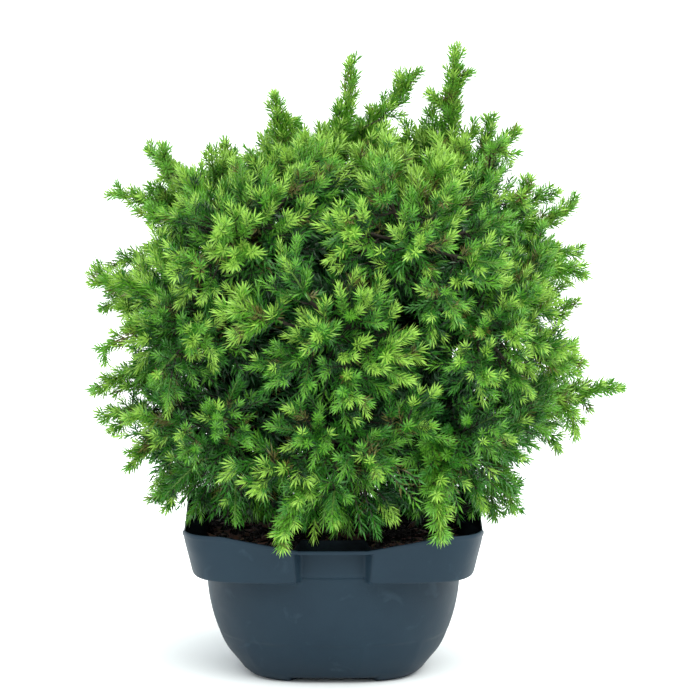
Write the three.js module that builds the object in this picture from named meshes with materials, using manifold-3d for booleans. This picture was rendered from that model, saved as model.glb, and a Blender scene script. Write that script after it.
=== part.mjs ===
// A dwarf Japanese cedar in its nursery pot, in millimetres, +Z up, front towards -Y.
// The origin is the centre of the pot's foot, on the surface that the pot stands on.
//
// The pot is a round bowl under a rounded-square collar. Compost fills it, the trunk stands on
// the compost, and each bough carries one mass of foliage. The crown's outline is a plump dome.
// Twig tips are spread over that outline by the golden angle, and a few leaders pass it.
import * as THREE from "three";
import { mergeVertices } from "three/addons/utils/BufferGeometryUtils.js";
import Module from "manifold-3d";

const wasm = await Module();
wasm.setup();

// Clearance between pieces that rest against each other.
const GAP = 0.3;

// Pot: the bowl. It stands on a disc in the middle and on four feet at the corners.
const POT = {
  discRadius: 30,
  footInner: 52,
  footHalf: 68,
  footSquareness: 3,
  footLift: 4, // of the ring round the disc, and of the arches between the feet
  floor: 2.4,
  wall: 2.3,
  bodyTop: 90,
  bodyTopHalf: 105.5,
  bodyTopSquareness: 2.4,
};
// The bowl's outside between its foot and the collar, as [half width, squareness, height].
const BOWL = [[75.5, 3, 6], [88, 2.6, 20], [97.5, 2.4, 40], [104, 2.4, 65]];

// Pot: the collar, whose rim is high at the corners and low in the middle of each side.
const COLLAR = {
  foot: 91,
  footHalf: 113,
  footSquareness: 5,
  rimHalf: 123,
  rimSquareness: 6.5,
  rimMiddle: 119.5,
  rimCorner: 130.5,
  rimThick: 2.6,
  recessBack: 108, // half width of the pot across two recess backs
  recessRise: 2.5, // a recess ends this much over the collar's foot
  ledge: 2.5, // the rim over a recess is this much thicker
};
const RIM_RISE_FROM = 28; // the rim starts to rise this far from a side's middle,
const RIM_RISE_TO = 92; // and is level again from here to the corner
// Angles from a side's middle, in degrees, where the pot has an edge down its wall.
const SIDE_ANGLES = [0, 7, 13, 15, 27, 29, 37, 45];
const RECESS_END = [13, 15];
const FOOT_START = [27, 29];
const DRAIN = { count: 4, ring: 41, radius: 5 };

// Compost.
const SOIL = { edge: 109, top: 113, flatRadius: 22 };

// Trunk.
const TRUNK = { topHeight: 352, footRadius: 15, radius: 8.5, tipRadius: 3.2, lean: 9, sides: 10 };

const BOUGH = { lowest: 172, radius: 4.2, tipRadius: 2.6, sag: 0.08 };

// Crown: a dome, squarer than an ellipsoid from the side and round from above.
const CROWN = {
  centre: new THREE.Vector3(6, 0, 286),
  across: 198,
  up: 173,
  squareness: 3,
};
// The foliage masses stand in tiers: how high on the dome, from 1 at its top to -1 at its foot,
// how many, and the direction of the first, in degrees from the right towards the back.
const TIERS = [
  { high: 0.96, count: 1, first: 200 },
  { high: 0.6, count: 5, first: 12 },
  { high: 0.06, count: 6, first: 30 },
  { high: -0.6, count: 7, first: 270 },
];
const MASS_AT = 0.64; // of the way from the crown's centre to its outline
const BOUGH_END = 0.42;
const CORE_INNER = 0.47;
const CORE_OUTER = 0.74;
const CORE_LOWER = 0.88; // the same under the crown, where the foliage hangs to the pot's rim
const TIPS = 146;
const GOLDEN = Math.PI * (3 - Math.sqrt(5));
// A shoot: a slim three-sided cone whose needles are toothed whorls that sweep forwards.
const SHOOT = { length: 58, girth: 14.5, stem: 2, whorls: 2 };
const LEADER = { length: 78, girth: 9.5, stem: 1.6, whorls: 4 };
const SIDE_SHOOT = { length: 30, girth: 8, stem: 1.2, whorls: 2 };

// Leaders: shoots that pass the outline, by where their tips stand: across, towards the back, up.
const LEADERS = {
  tallest: [100, 4, 518],
  middle: [14, 10, 504],
  leftOfMiddle: [-47, -8, 477],
  forked: [70, 30, 494],
  rightShoulder: [128, 20, 457],
  rightShoulderBack: [150, 40, 447],
  leftShoulder: [-155, 14, 430],
  leftShoulderBack: [-91, 50, 434],
  leftHigh: [-182, -14, 398],
  leftSide: [-201, 30, 331],
  leftLow: [-198, -14, 230],
  leftFoot: [-138, -72, 132],
  rightHigh: [201, 8, 388],
  rightSide: [208, -24, 327],
  rightReach: [240, 6, 234],
  rightLow: [203, -22, 194],
  rightFoot: [150, -8, 129],
  frontDroop: [-42, -170, 124],
  frontDroopRight: [98, -150, 128],
  backHigh: [-30, 120, 466],
  backReach: [60, 205, 330],
  backLow: [-90, 188, 205],
};

// A number from 0 to 1 that is always the same for one piece and one use.
function chance(piece, use) {
  const s = Math.sin(piece * 12.9898 + use * 78.233) * 43758.5453;
  return s - Math.floor(s);
}

const mix = (a, b, share) => a + (b - a) * share;
const clamp = (v, low, high) => Math.min(high, Math.max(low, v));

// Solids.

function geometryOf(points, triangles) {
  const flat = new Float32Array(points.flatMap((p) => [p.x, p.y, p.z]));
  return new THREE.BufferGeometry()
    .setAttribute("position", new THREE.BufferAttribute(flat, 3))
    .setIndex(triangles);
}

function solidOf(geometry) {
  const bare = geometry.clone();
  bare.deleteAttribute("normal");
  bare.deleteAttribute("uv");
  const merged = mergeVertices(bare, 1e-4);
  return new wasm.Manifold(
    new wasm.Mesh({
      numProp: 3,
      vertProperties: merged.attributes.position.array,
      triVerts: new Uint32Array(merged.index.array),
    }),
  );
}

function geometryFrom(solid) {
  const made = solid.getMesh();
  return new THREE.BufferGeometry()
    .setAttribute("position", new THREE.BufferAttribute(made.vertProperties, 3))
    .setIndex(new THREE.BufferAttribute(made.triVerts, 1));
}

const biggest = (solid) =>
  solid.decompose().reduce((best, s) => (s.volume() > best.volume() ? s : best));

// A closed skin over rings of equally many points, with a cap at each end. The rings are listed
// upwards, or downwards for a skin that has to fit inside one that is listed downwards too.
function loft(rings, downwards = false) {
  const count = rings[0].length;
  const points = rings.flat();
  const triangles = [];
  for (let i = 0; i + 1 < rings.length; i++)
    for (let j = 0; j < count; j++) {
      const a = i * count + j;
      const b = i * count + ((j + 1) % count);
      triangles.push(a, b, b + count, a, b + count, a + count);
    }
  const last = (rings.length - 1) * count;
  const middle = (ring) =>
    ring.reduce((sum, p) => sum.add(p), new THREE.Vector3()).divideScalar(count);
  points.push(middle(rings[0]), middle(rings[rings.length - 1]));
  for (let j = 0; j < count; j++) {
    const next = (j + 1) % count;
    triangles.push(points.length - 2, next, j);
    triangles.push(points.length - 1, last + j, last + next);
  }
  if (downwards) triangles.reverse();
  return geometryOf(points, triangles);
}

// A round or few-sided limb along points. A last radius of 0 makes a pointed tip. Each ring can
// be turned back by so many half sides, counted from the first ring.
function limb(path, radii, sides, turns = []) {
  const pointed = radii[radii.length - 1] === 0;
  const rings = pointed ? path.slice(0, -1) : path;
  const points = [];
  rings.forEach((p, i) => {
    const way = new THREE.Vector3()
      .subVectors(path[Math.min(i + 1, path.length - 1)], path[Math.max(i - 1, 0)])
      .normalize();
    const side = new THREE.Vector3(0.31, 0.17, 0.93).cross(way).normalize();
    if (side.lengthSq() < 0.5) side.set(1, 0, 0);
    const up = new THREE.Vector3().crossVectors(way, side);
    for (let k = 0; k < sides; k++) {
      const turn = ((k - (turns[i] || 0) / 2) / sides) * 2 * Math.PI;
      points.push(
        p.clone()
          .addScaledVector(side, Math.cos(turn) * radii[i])
          .addScaledVector(up, Math.sin(turn) * radii[i]),
      );
    }
  });
  const triangles = [];
  for (let i = 0; i + 1 < rings.length; i++)
    for (let k = 0; k < sides; k++) {
      const a = i * sides + k;
      const b = i * sides + ((k + 1) % sides);
      triangles.push(a, b, b + sides, a, b + sides, a + sides);
    }
  const last = (rings.length - 1) * sides;
  for (let k = 1; k + 1 < sides; k++) triangles.push(0, k + 1, k);
  if (pointed) {
    points.push(path[path.length - 1].clone());
    for (let k = 0; k < sides; k++)
      triangles.push(last + k, last + ((k + 1) % sides), points.length - 1);
  } else {
    for (let k = 1; k + 1 < sides; k++) triangles.push(last, last + k, last + k + 1);
  }
  return geometryOf(points, triangles);
}

// Pot and compost.

// The rim's height at an angle.
function rimHeight(turn) {
  const [x, y] = [Math.abs(Math.cos(turn)), Math.abs(Math.sin(turn))];
  const along = (COLLAR.rimHalf * Math.min(x, y)) / Math.max(x, y);
  const rise = clamp((along - RIM_RISE_FROM) / (RIM_RISE_TO - RIM_RISE_FROM), 0, 1);
  return mix(COLLAR.rimMiddle, COLLAR.rimCorner, rise);
}

// All the angles round the pot, each with its angle from the middle of its side.
const around = [];
for (let side = 0; side < 4; side++) {
  SIDE_ANGLES.slice(1).reverse().forEach((off) => around.push({ side, off, sign: -1 }));
  SIDE_ANGLES.slice(0, -1).forEach((off) => around.push({ side, off, sign: 1 }));
}
around.forEach((a) => {
  a.turn = THREE.MathUtils.degToRad(a.side * 90 + a.sign * a.off);
  a.recess = 1 - clamp((a.off - RECESS_END[0]) / (RECESS_END[1] - RECESS_END[0]), 0, 1);
  a.foot = clamp((a.off - FOOT_START[0]) / (FOOT_START[1] - FOOT_START[0]), 0, 1);
  a.rim = rimHeight(a.turn);
});

// A rounded square's radius at an angle: 2 is a circle, and more is squarer.
function plan(half, squareness, turn) {
  const sum =
    Math.abs(Math.cos(turn)) ** squareness + Math.abs(Math.sin(turn)) ** squareness;
  return half / sum ** (1 / squareness);
}

const ringAt = (radius, height) =>
  around.map((a) => {
    const r = typeof radius === "function" ? radius(a) : radius;
    const z = typeof height === "function" ? height(a) : height;
    return new THREE.Vector3(r * Math.cos(a.turn), r * Math.sin(a.turn), z);
  });

const roundedSquare = (half, squareness) => (a) => plan(half, squareness, a.turn);
const footRadius = roundedSquare(POT.footHalf, POT.footSquareness);
const bodyRadius = roundedSquare(POT.bodyTopHalf, POT.bodyTopSquareness);
const rimRadius = (less) => (a) => plan(COLLAR.rimHalf, COLLAR.rimSquareness, a.turn) - less;

// Radius of the collar's wall. A recess sets it back to the bowl's line.
const wallRadius = (half, squareness, back) => (a) => {
  const full = plan(half, squareness, a.turn);
  return mix(full, Math.min(back, full), a.recess);
};
const collarFoot = wallRadius(COLLAR.footHalf, COLLAR.footSquareness, COLLAR.recessBack - 1);
const collarHead = wallRadius(COLLAR.rimHalf - 1, COLLAR.rimSquareness, COLLAR.recessBack + 0.8);

const inner = (radius) => (a) => radius(a) - POT.wall;
// The pot's inside wall from the floor to just under the rim.
const INSIDE = [
  [inner((a) => footRadius(a) + 2), () => POT.footLift + POT.floor + 1.2],
  ...BOWL.slice(1).map(([half, n, z]) => [inner(roundedSquare(half, n)), () => z + 0.8]),
  [inner(bodyRadius), () => POT.bodyTop + 2.4],
  [inner(collarFoot), () => COLLAR.foot + 3.4],
  [inner((a) => mix(collarFoot(a), collarHead(a), 0.5)), () => SOIL.edge],
  [inner(collarHead), (a) => a.rim - 2.4 - COLLAR.ledge * a.recess],
];

function potSolid() {
  const { discRadius, footInner, footLift } = POT;
  const under = (a) => footLift * (1 - a.foot);
  const lip = (a) => COLLAR.foot + COLLAR.recessRise * a.recess;
  const outside = [
    ringAt(discRadius, 0),
    ringAt(discRadius + 2, footLift),
    ringAt(footInner - 2, footLift),
    ringAt(footInner, under),
    ringAt(footRadius, under),
    ...BOWL.map(([half, n, z]) => ringAt(roundedSquare(half, n), z)),
    ringAt(bodyRadius, POT.bodyTop),
    ringAt(collarFoot, lip),
    ringAt((a) => collarFoot(a) + 1.2, (a) => lip(a) + 2.2),
    ringAt(collarHead, (a) => a.rim - 4.6),
    ringAt(rimRadius(0), (a) => a.rim - 2.6),
    ringAt(rimRadius(0.7), (a) => a.rim),
  ];
  const inside = [
    ringAt(rimRadius(COLLAR.rimThick), (a) => a.rim - 0.3),
    ...INSIDE.slice().reverse().map(([radius, height]) => ringAt(radius, height)),
    ringAt(discRadius, footLift + POT.floor),
  ];
  let pot = solidOf(loft([...outside, ...inside]));
  for (let i = 0; i < DRAIN.count; i++) {
    const turn = (i / DRAIN.count) * 2 * Math.PI;
    const drain = new THREE.CylinderGeometry(DRAIN.radius, DRAIN.radius, 20, 8);
    drain.rotateX(Math.PI / 2);
    drain.translate(DRAIN.ring * Math.cos(turn), DRAIN.ring * Math.sin(turn), 5);
    pot = pot.subtract(solidOf(drain));
  }
  return pot;
}

// Compost up to its edge against the wall, and mounded a little towards the trunk.
function soilShape() {
  const wall = INSIDE.slice(0, -1).reverse();
  const floor = POT.footLift + POT.floor + GAP;
  const rings = [
    ringAt(SOIL.flatRadius, SOIL.top),
    ringAt(78, mix(SOIL.edge, SOIL.top, 0.7)),
    ...wall.map(([radius, height]) => ringAt((a) => radius(a) - GAP - 0.1, height)),
    ringAt(POT.discRadius, floor),
  ];
  rings[rings.length - 2].forEach((p) => p.setZ(p.z + GAP + 0.1));
  return loft(rings, true);
}

// Trunk and boughs.

function trunkAxis(height) {
  const share = (height - SOIL.top) / (TRUNK.topHeight - SOIL.top);
  return new THREE.Vector3(
    TRUNK.lean * share + 2.5 * Math.sin(share * 5),
    2 * Math.sin(share * 4 + 1) - 1.7,
    height,
  );
}

// Radius of the trunk at a share of its height, with a flare of roots at its foot.
function trunkRadius(share, turn = 0) {
  const flare = (TRUNK.footRadius - TRUNK.radius) * Math.exp(-share * 14);
  return mix(TRUNK.radius, TRUNK.tipRadius, share) + flare * (1 + 0.28 * Math.cos(5 * turn + 0.6));
}

function trunkSkin(more) {
  const rings = [0, 0.03, 0.07, 0.14, 0.3, 0.5, 0.75, 1].map((share) => {
    const centre = trunkAxis(mix(SOIL.top + GAP, TRUNK.topHeight, share));
    return Array.from({ length: TRUNK.sides }, (_, k) => {
      const turn = (k / TRUNK.sides) * 2 * Math.PI;
      const r = trunkRadius(share, turn) + more;
      return new THREE.Vector3(r * Math.cos(turn), r * Math.sin(turn), 0).add(centre);
    });
  });
  return loft(rings);
}

// Distance from the crown's centre to its outline in a direction.
function outline(way) {
  const flat = Math.hypot(way.x, way.y) / CROWN.across;
  const tall = Math.abs(way.z) / CROWN.up;
  return (flat ** CROWN.squareness + tall ** CROWN.squareness) ** (-1 / CROWN.squareness);
}

// A point's share of the way from the crown's centre to its outline.
function depthIn(p) {
  const way = new THREE.Vector3().subVectors(p, CROWN.centre);
  const length = way.length() || 1e-6;
  return length / outline(way.divideScalar(length));
}

// The direction of one of many points spread over the crown by the golden angle.
function spread(index, count, top, bottom) {
  const z = mix(top, bottom, (index + 0.5) / count);
  const flat = Math.sqrt(1 - z * z);
  const turn = index * GOLDEN + 0.9;
  return new THREE.Vector3(flat * Math.cos(turn), flat * Math.sin(turn), z);
}

const inCrown = (way, share) =>
  CROWN.centre.clone().addScaledVector(way, outline(way) * share);

const masses = [];
for (const tier of TIERS)
  for (let i = 0; i < tier.count; i++) {
    const turn = THREE.MathUtils.degToRad(tier.first + (i * 360) / tier.count);
    const flat = Math.sqrt(1 - tier.high ** 2);
    const way = new THREE.Vector3(flat * Math.cos(turn), flat * Math.sin(turn), tier.high);
    masses.push({
      way,
      centre: inCrown(way, MASS_AT),
      boughEnd: inCrown(way, BOUGH_END),
      twigs: [],
    });
  }

// The boughs leave the trunk one under another, from the top mass's to the lowest one's.
function boughPoints(mass) {
  const share = masses.indexOf(mass) / (masses.length - 1);
  const start = trunkAxis(mix(TRUNK.topHeight - 12, BOUGH.lowest, share));
  const sag = BOUGH.sag * start.distanceTo(mass.boughEnd);
  const bend = start.clone().lerp(mass.boughEnd, 0.5).add(new THREE.Vector3(0, 0, -sag));
  return new THREE.QuadraticBezierCurve3(start, bend, mass.boughEnd).getPoints(3);
}

function boughSolid(mass, fatTrunk) {
  const points = boughPoints(mass);
  const radii = points.map((_, i) => mix(BOUGH.radius, BOUGH.tipRadius, i / 3));
  return biggest(solidOf(limb(points, radii, 5)).subtract(fatTrunk));
}

// Foliage.

function nearestMass(p) {
  return masses.reduce((best, m) =>
    m.centre.distanceToSquared(p) < best.centre.distanceToSquared(p) ? m : best,
  );
}

// Whether a point lies in a mass's own share of the crown, this far inside its borders.
function inCell(p, mass, margin) {
  return masses.every((other) => {
    if (other === mass) return true;
    const apart = new THREE.Vector3().subVectors(other.centre, mass.centre);
    const middle = other.centre.clone().add(mass.centre).multiplyScalar(0.5);
    return apart.dot(middle.sub(p)) / apart.length() > margin;
  });
}

// Clear of the pot, the compost, the trunk and the boughs' room in the middle of the crown.
function clearOfRest(p, margin) {
  const turn = Math.atan2(p.y, p.x);
  const overPot = Math.hypot(p.x, p.y) < plan(COLLAR.rimHalf, COLLAR.rimSquareness, turn) + margin;
  if (overPot && p.z < rimHeight(turn) + margin) return false;
  if (p.z < TRUNK.topHeight + 4) {
    const axis = trunkAxis(p.z);
    if (Math.hypot(p.x - axis.x, p.y - axis.y) < TRUNK.footRadius + margin) return false;
  }
  return depthIn(p) > BOUGH_END + 0.02;
}

const allFree = (geometry, mass) => {
  const at = geometry.getAttribute("position");
  for (let i = 0; i < at.count; i++) {
    const p = new THREE.Vector3().fromBufferAttribute(at, i);
    if (!inCell(p, mass, 0.3) || !clearOfRest(p, 1.5)) return false;
  }
  return true;
};

// A dense lump in the middle of a mass, grown from its centre until it meets its borders.
function coreOf(mass, seed) {
  const ball = new THREE.IcosahedronGeometry(1, 1);
  ball.deleteAttribute("normal");
  ball.deleteAttribute("uv");
  const core = mergeVertices(ball, 1e-4);
  const at = core.getAttribute("position");
  const room = (p) =>
    inCell(p, mass, 2) &&
    clearOfRest(p, 6) &&
    depthIn(p) > CORE_INNER &&
    depthIn(p) < mix(CORE_OUTER, CORE_LOWER, clamp((CROWN.centre.z - p.z) / CROWN.up, 0, 1));
  for (let i = 0; i < at.count; i++) {
    const way = new THREE.Vector3().fromBufferAttribute(at, i).normalize();
    let reach = 4;
    while (reach < 90 && room(mass.centre.clone().addScaledVector(way, reach + 2))) reach += 2;
    const p = mass.centre.clone().addScaledVector(way, reach * mix(0.86, 1, chance(i, seed)));
    at.setXYZ(i, p.x, p.y, p.z);
  }
  return core;
}

// A shoot from its base to its tip. Each whorl of needles has its points and then the notch
// behind them. The twig that the shoot ends may be given by where it starts.
function shoot(kind, base, tip, twigStart) {
  const path = twigStart ? [twigStart, base] : [base];
  const radii = twigStart ? [2.4, kind.stem] : [kind.stem];
  const turns = path.map(() => 0);
  for (let w = 0; w < kind.whorls; w++) {
    const share = (w + 0.95) / (kind.whorls + 0.25);
    const girth = kind.girth * mix(1, 0.6, share);
    path.push(base.clone().lerp(tip, share), base.clone().lerp(tip, share - 0.22 / kind.whorls));
    radii.push(girth, girth * 0.2);
    turns.push(2 * w, 2 * w + 1);
  }
  return limb([...path, tip], [...radii, 0], 3, turns);
}

// A twig from a mass's centre to its tip, and the side shoots near its end.
function twigPieces(mass, twig, pull) {
  const root = mass.centre;
  const tip = twig.tip.clone().lerp(inCrown(mass.way, 1), pull);
  const reach = root.distanceTo(tip);
  const way = new THREE.Vector3().subVectors(tip, root).normalize();
  const from = (d) => root.clone().addScaledVector(way, d);
  const length = Math.min(twig.kind.length, 0.75 * reach);
  const pieces = [shoot(twig.kind, from(reach - length), tip, from(3))];
  const side = new THREE.Vector3(0.5, 0.2, 0.8).cross(way).normalize();
  for (let i = 0; i < twig.sideShoots; i++) {
    const start = from(reach - 24 - 16 * i);
    const out = side.clone().applyAxisAngle(way, (i + chance(twig.seed, 5)) * GOLDEN);
    const lean = way.clone().multiplyScalar(0.62).add(out.multiplyScalar(0.78)).normalize();
    const sideLength = SIDE_SHOOT.length * mix(0.7, 1, chance(twig.seed + i, 7));
    pieces.push(shoot(SIDE_SHOOT, start, start.clone().addScaledVector(lean, sideLength)));
  }
  return pieces;
}

// Tips stay over the rim where the crown hangs above the pot.
function lifted(p) {
  const turn = Math.atan2(p.y, p.x);
  const edge = plan(COLLAR.rimHalf, COLLAR.rimSquareness, turn) + 16;
  if (Math.hypot(p.x, p.y) < edge) p.z = Math.max(p.z, rimHeight(turn) + 8);
  return p;
}

for (let i = 0; i < TIPS; i++) {
  const way = spread(i, TIPS, 0.99, -0.94);
  const tip = lifted(inCrown(way, mix(0.93, 1.04, chance(i, 1))));
  nearestMass(tip).twigs.push({ tip, seed: i, kind: SHOOT, sideShoots: 0 });
}
Object.values(LEADERS).forEach((at, i) => {
  const tip = new THREE.Vector3(...at);
  nearestMass(tip).twigs.push({ tip, seed: 1000 + 10 * i, kind: LEADER, sideShoots: 1 });
});

// A mass's stem goes on in line from the bough's tip to the mass's centre.
function stemPoints(mass) {
  const bough = boughPoints(mass);
  const [before, end] = bough.slice(-2);
  const way = new THREE.Vector3().subVectors(end, before).normalize();
  const ahead = (d) => end.clone().addScaledVector(way, d);
  return [ahead(GAP), ahead(GAP + 8), mass.centre];
}

function massSolid(mass, seed) {
  let whole = solidOf(coreOf(mass, seed));
  whole = whole.add(solidOf(limb(stemPoints(mass), [BOUGH.tipRadius, 2.3, 2], 5)));
  for (const twig of mass.twigs) {
    const tries = [0, 0.08, 0.16, 0.26].map((pull) => twigPieces(mass, twig, pull));
    const fits = tries.find(([twigItself]) => allFree(twigItself, mass)) || [];
    for (const piece of fits) if (allFree(piece, mass)) whole = whole.add(solidOf(piece));
  }
  return biggest(whole);
}

// Materials and the finished group.

const finish = (color, roughness) =>
  new THREE.MeshStandardMaterial({ color, roughness, metalness: 0 });
const slate = finish("#3b4d5b", 0.62);
const compost = finish("#2a1c14", 0.98);
const bark = finish("#5d4030", 0.9);
const needles = finish("#4f8226", 0.7);

const cedar = new THREE.Group();
function place(name, geometry, material) {
  const mesh = new THREE.Mesh(geometry, material);
  mesh.name = name;
  cedar.add(mesh);
}

place("pot", geometryFrom(potSolid()), slate);
place("compost", soilShape(), compost);
place("trunk", trunkSkin(0), bark);
const fatTrunk = solidOf(trunkSkin(GAP));
masses.forEach((mass, i) => {
  const number = String(i + 1).padStart(2, "0");
  place("bough_" + number, geometryFrom(boughSolid(mass, fatTrunk)), bark);
  place("foliage_" + number, geometryFrom(massSolid(mass, i)), needles);
});

export default cedar;
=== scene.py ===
# %% [markdown]
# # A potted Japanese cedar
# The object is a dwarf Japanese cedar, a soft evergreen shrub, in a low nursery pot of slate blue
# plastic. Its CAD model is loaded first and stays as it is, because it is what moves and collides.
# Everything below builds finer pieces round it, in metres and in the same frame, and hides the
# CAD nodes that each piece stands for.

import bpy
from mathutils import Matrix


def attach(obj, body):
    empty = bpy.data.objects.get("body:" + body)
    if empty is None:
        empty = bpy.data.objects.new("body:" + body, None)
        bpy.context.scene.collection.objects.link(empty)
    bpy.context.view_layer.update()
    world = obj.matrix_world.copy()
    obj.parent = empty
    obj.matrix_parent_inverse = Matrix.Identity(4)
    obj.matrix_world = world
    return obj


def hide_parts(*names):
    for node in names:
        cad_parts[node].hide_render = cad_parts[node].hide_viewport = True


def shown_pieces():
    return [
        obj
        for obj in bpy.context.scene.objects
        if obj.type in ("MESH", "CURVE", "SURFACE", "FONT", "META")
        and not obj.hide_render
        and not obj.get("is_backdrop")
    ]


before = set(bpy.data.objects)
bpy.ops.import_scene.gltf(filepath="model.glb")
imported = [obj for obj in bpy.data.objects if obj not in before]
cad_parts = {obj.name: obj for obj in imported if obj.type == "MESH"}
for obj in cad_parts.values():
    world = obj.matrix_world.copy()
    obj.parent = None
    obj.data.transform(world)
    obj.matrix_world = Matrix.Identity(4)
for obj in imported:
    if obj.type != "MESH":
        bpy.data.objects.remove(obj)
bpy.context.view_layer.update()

# %% Tools and the unit
import math

import bpy
import numpy as np
from mathutils import Vector

MM = 0.001  # the sizes below are in millimetres, as a maker would measure them
scene = bpy.context.scene
scene.view_settings.view_transform = "Standard"
print("Blender", bpy.app.version_string, "and numpy", np.__version__)

# %% [markdown]
# ## The camera
# A long lens from four and a half metres away shows the shrub almost without perspective. The
# camera looks slightly down, so the pot's rim opens into a narrow dark band. A position, a tilt
# and a focal length are enough: nothing is shifted, so it can be moved to any other side.

# %% The camera
LOOKS_DOWN = math.radians(8.5)
PICTURE_MIDDLE = Vector((0.0137, 0.0, 0.2645))
CAMERA_AWAY = 4.5
lens = bpy.data.cameras.new("camera")
lens.sensor_width = 36.0
lens.lens = 281.25
lens.clip_end = 200.0
camera = bpy.data.objects.new("camera", lens)
back_to_camera = Vector((0.0, -math.cos(LOOKS_DOWN), math.sin(LOOKS_DOWN)))
camera.location = PICTURE_MIDDLE + CAMERA_AWAY * back_to_camera
camera.rotation_euler = (math.pi / 2 - LOOKS_DOWN, 0.0, 0.0)
scene.collection.objects.link(camera)
scene.camera = camera
print("camera at", [round(v, 3) for v in camera.location])

# %% [markdown]
# ## The light
# The shrub stands in bright shade on a white ground, so light comes from all round and a little
# more from above. The world's near white does most of the work. A very broad sun from above, in
# front and a little to the right brightens the tops of the shoots and leaves the crown's inside
# dark. It is so wide that its shadow has no edge, and it lights the floor evenly to the horizon.

# %% The light
world = bpy.data.worlds.new("bright_shade")
world.use_nodes = True
world.node_tree.nodes["Background"].inputs["Color"].default_value = (0.96, 0.985, 1.0, 1.0)
world.node_tree.nodes["Background"].inputs["Strength"].default_value = 1.35
scene.world = world


def broad_sun(name, towards, strength, width, tint):
    """Adds a sun that shines along a direction. width is its angle in the sky, in degrees."""
    sun = bpy.data.lights.new(name, "SUN")
    sun.angle = math.radians(width)
    sun.energy = strength
    sun.color = tint
    holder = bpy.data.objects.new(name, sun)
    holder.rotation_euler = Vector(towards).to_track_quat("-Z", "Y").to_euler()
    scene.collection.objects.link(holder)


broad_sun("sun_above", (-0.22, 0.42, -1.0), strength=4.2, width=70.0, tint=(1.0, 0.99, 0.95))

# %% [markdown]
# ## Meshes from arrays
# The crown has some two hundred thousand needles, far too many to add one by one. Numpy works
# out all their corners at once, and Blender takes the finished arrays in a single step. The same
# helper makes the pot, the bark and the twigs.


# %% A mesh from arrays
def piece_from_arrays(name, points, faces, materials, dealt=None, smooth=True):
    """A mesh object from points in mm and faces with equally many corners.
    dealt gives each face's place in the list of materials."""
    mesh = bpy.data.meshes.new(name)
    mesh.vertices.add(len(points))
    mesh.vertices.foreach_set("co", (points * MM).astype(np.float32).ravel())
    mesh.loops.add(faces.size)
    mesh.loops.foreach_set("vertex_index", faces.astype(np.int32).ravel())
    mesh.polygons.add(len(faces))
    starts = np.arange(0, faces.size, faces.shape[1], dtype=np.int32)
    mesh.polygons.foreach_set("loop_start", starts)
    for material in materials:
        mesh.materials.append(material)
    if dealt is not None:
        mesh.polygons.foreach_set("material_index", dealt.astype(np.int32))
    mesh.polygons.foreach_set("use_smooth", np.full(len(faces), smooth))
    mesh.update(calc_edges=True)
    mesh.validate()
    piece = bpy.data.objects.new(name, mesh)
    scene.collection.objects.link(piece)
    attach(piece, "root")
    return piece


def triangles_in(piece):
    """How many triangles a piece has."""
    return sum(len(p.vertices) - 2 for p in piece.data.polygons)


print("one millimetre is", MM, "metres here")

# %% [markdown]
# ## The floor
# The floor is a plain white surface, wide enough to fill the view. It also throws light up under
# the crown, as the bright ground does on the real thing.

# %% The floor
FLOOR_HALF = 40.0
white_ground = bpy.data.materials.new("white_ground")
white_ground.use_nodes = True
ground_shader = white_ground.node_tree.nodes["Principled BSDF"]
ground_shader.inputs["Base Color"].default_value = (0.9, 0.94, 0.945, 1.0)
ground_shader.inputs["Roughness"].default_value = 0.9
ground_mesh = bpy.data.meshes.new("floor")
ground_turns = [(-1, -1), (1, -1), (1, 1), (-1, 1)]
ground_corners = [(x * FLOOR_HALF, y * FLOOR_HALF, 0) for x, y in ground_turns]
ground_mesh.from_pydata(ground_corners, [], [(0, 1, 2, 3)])
ground_mesh.materials.append(white_ground)
floor = bpy.data.objects.new("floor", ground_mesh)
scene.collection.objects.link(floor)
floor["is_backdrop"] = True
print("floor laid,", 2 * FLOOR_HALF, "metres wide")

# %% [markdown]
# ## Chance that repeats
# Nature's irregularity has to come out the same on every run. This function folds two numbers into
# one between 0 and 1. It is the same as in the CAD source, so the twigs land in the same places.
# The noise below uses it on the corners of a grid and blends between them.


# %% Chance and noise
def chance(piece, use):
    """A number from 0 to 1 that is always the same for one piece and one use."""
    s = np.sin(np.asarray(piece) * 12.9898 + use * 78.233) * 43758.5453
    return s - np.floor(s)


def mix(a, b, share):
    """A value between a and b."""
    return a + (b - a) * share


def unit(v):
    """The same directions with a length of 1."""
    return v / np.maximum(np.linalg.norm(v, axis=-1, keepdims=True), 1e-9)


def soft_noise(points, grain, use):
    """Smooth noise from -1 to 1 at points, with lumps of about one grain in size."""
    at = points / grain
    cell = np.floor(at)
    part = at - cell
    part = part * part * (3 - 2 * part)
    total = np.zeros(points.shape[:-1])
    for corner in np.ndindex(2, 2, 2):
        weight = np.prod(np.where(np.array(corner) == 1, part, 1 - part), axis=-1)
        near = cell + np.array(corner)
        key = near[..., 0] * 1.37 + near[..., 1] * 17.71 + near[..., 2] * 59.13
        total += weight * chance(key, use)
    return 2 * total - 1


print("chance repeats:", round(float(chance(3, 1)), 6))

# %% [markdown]
# ## A shared finish: mottling
# Plastic, compost, bark and needles all vary a little in tone from place to place, and have a fine
# unevenness that breaks up the light. One node group does this for all of them. It blends two
# colours by a noise, and gives the same noise as a height for a Bump node. Each material sets its
# own colours and grain. Two small helpers keep the node code short: one adds a node with its
# settings, and one takes a table of links.


# %% Helpers for nodes
def add_node(tree, kind, values=None, **settings):
    """A new shader node with its settings, and the values of its inputs by name or number."""
    node = tree.nodes.new("ShaderNode" + kind)
    for name, setting in settings.items():
        setattr(node, name, setting)
    for socket, value in (values or {}).items():
        node.inputs[socket].default_value = value
    return node


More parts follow.
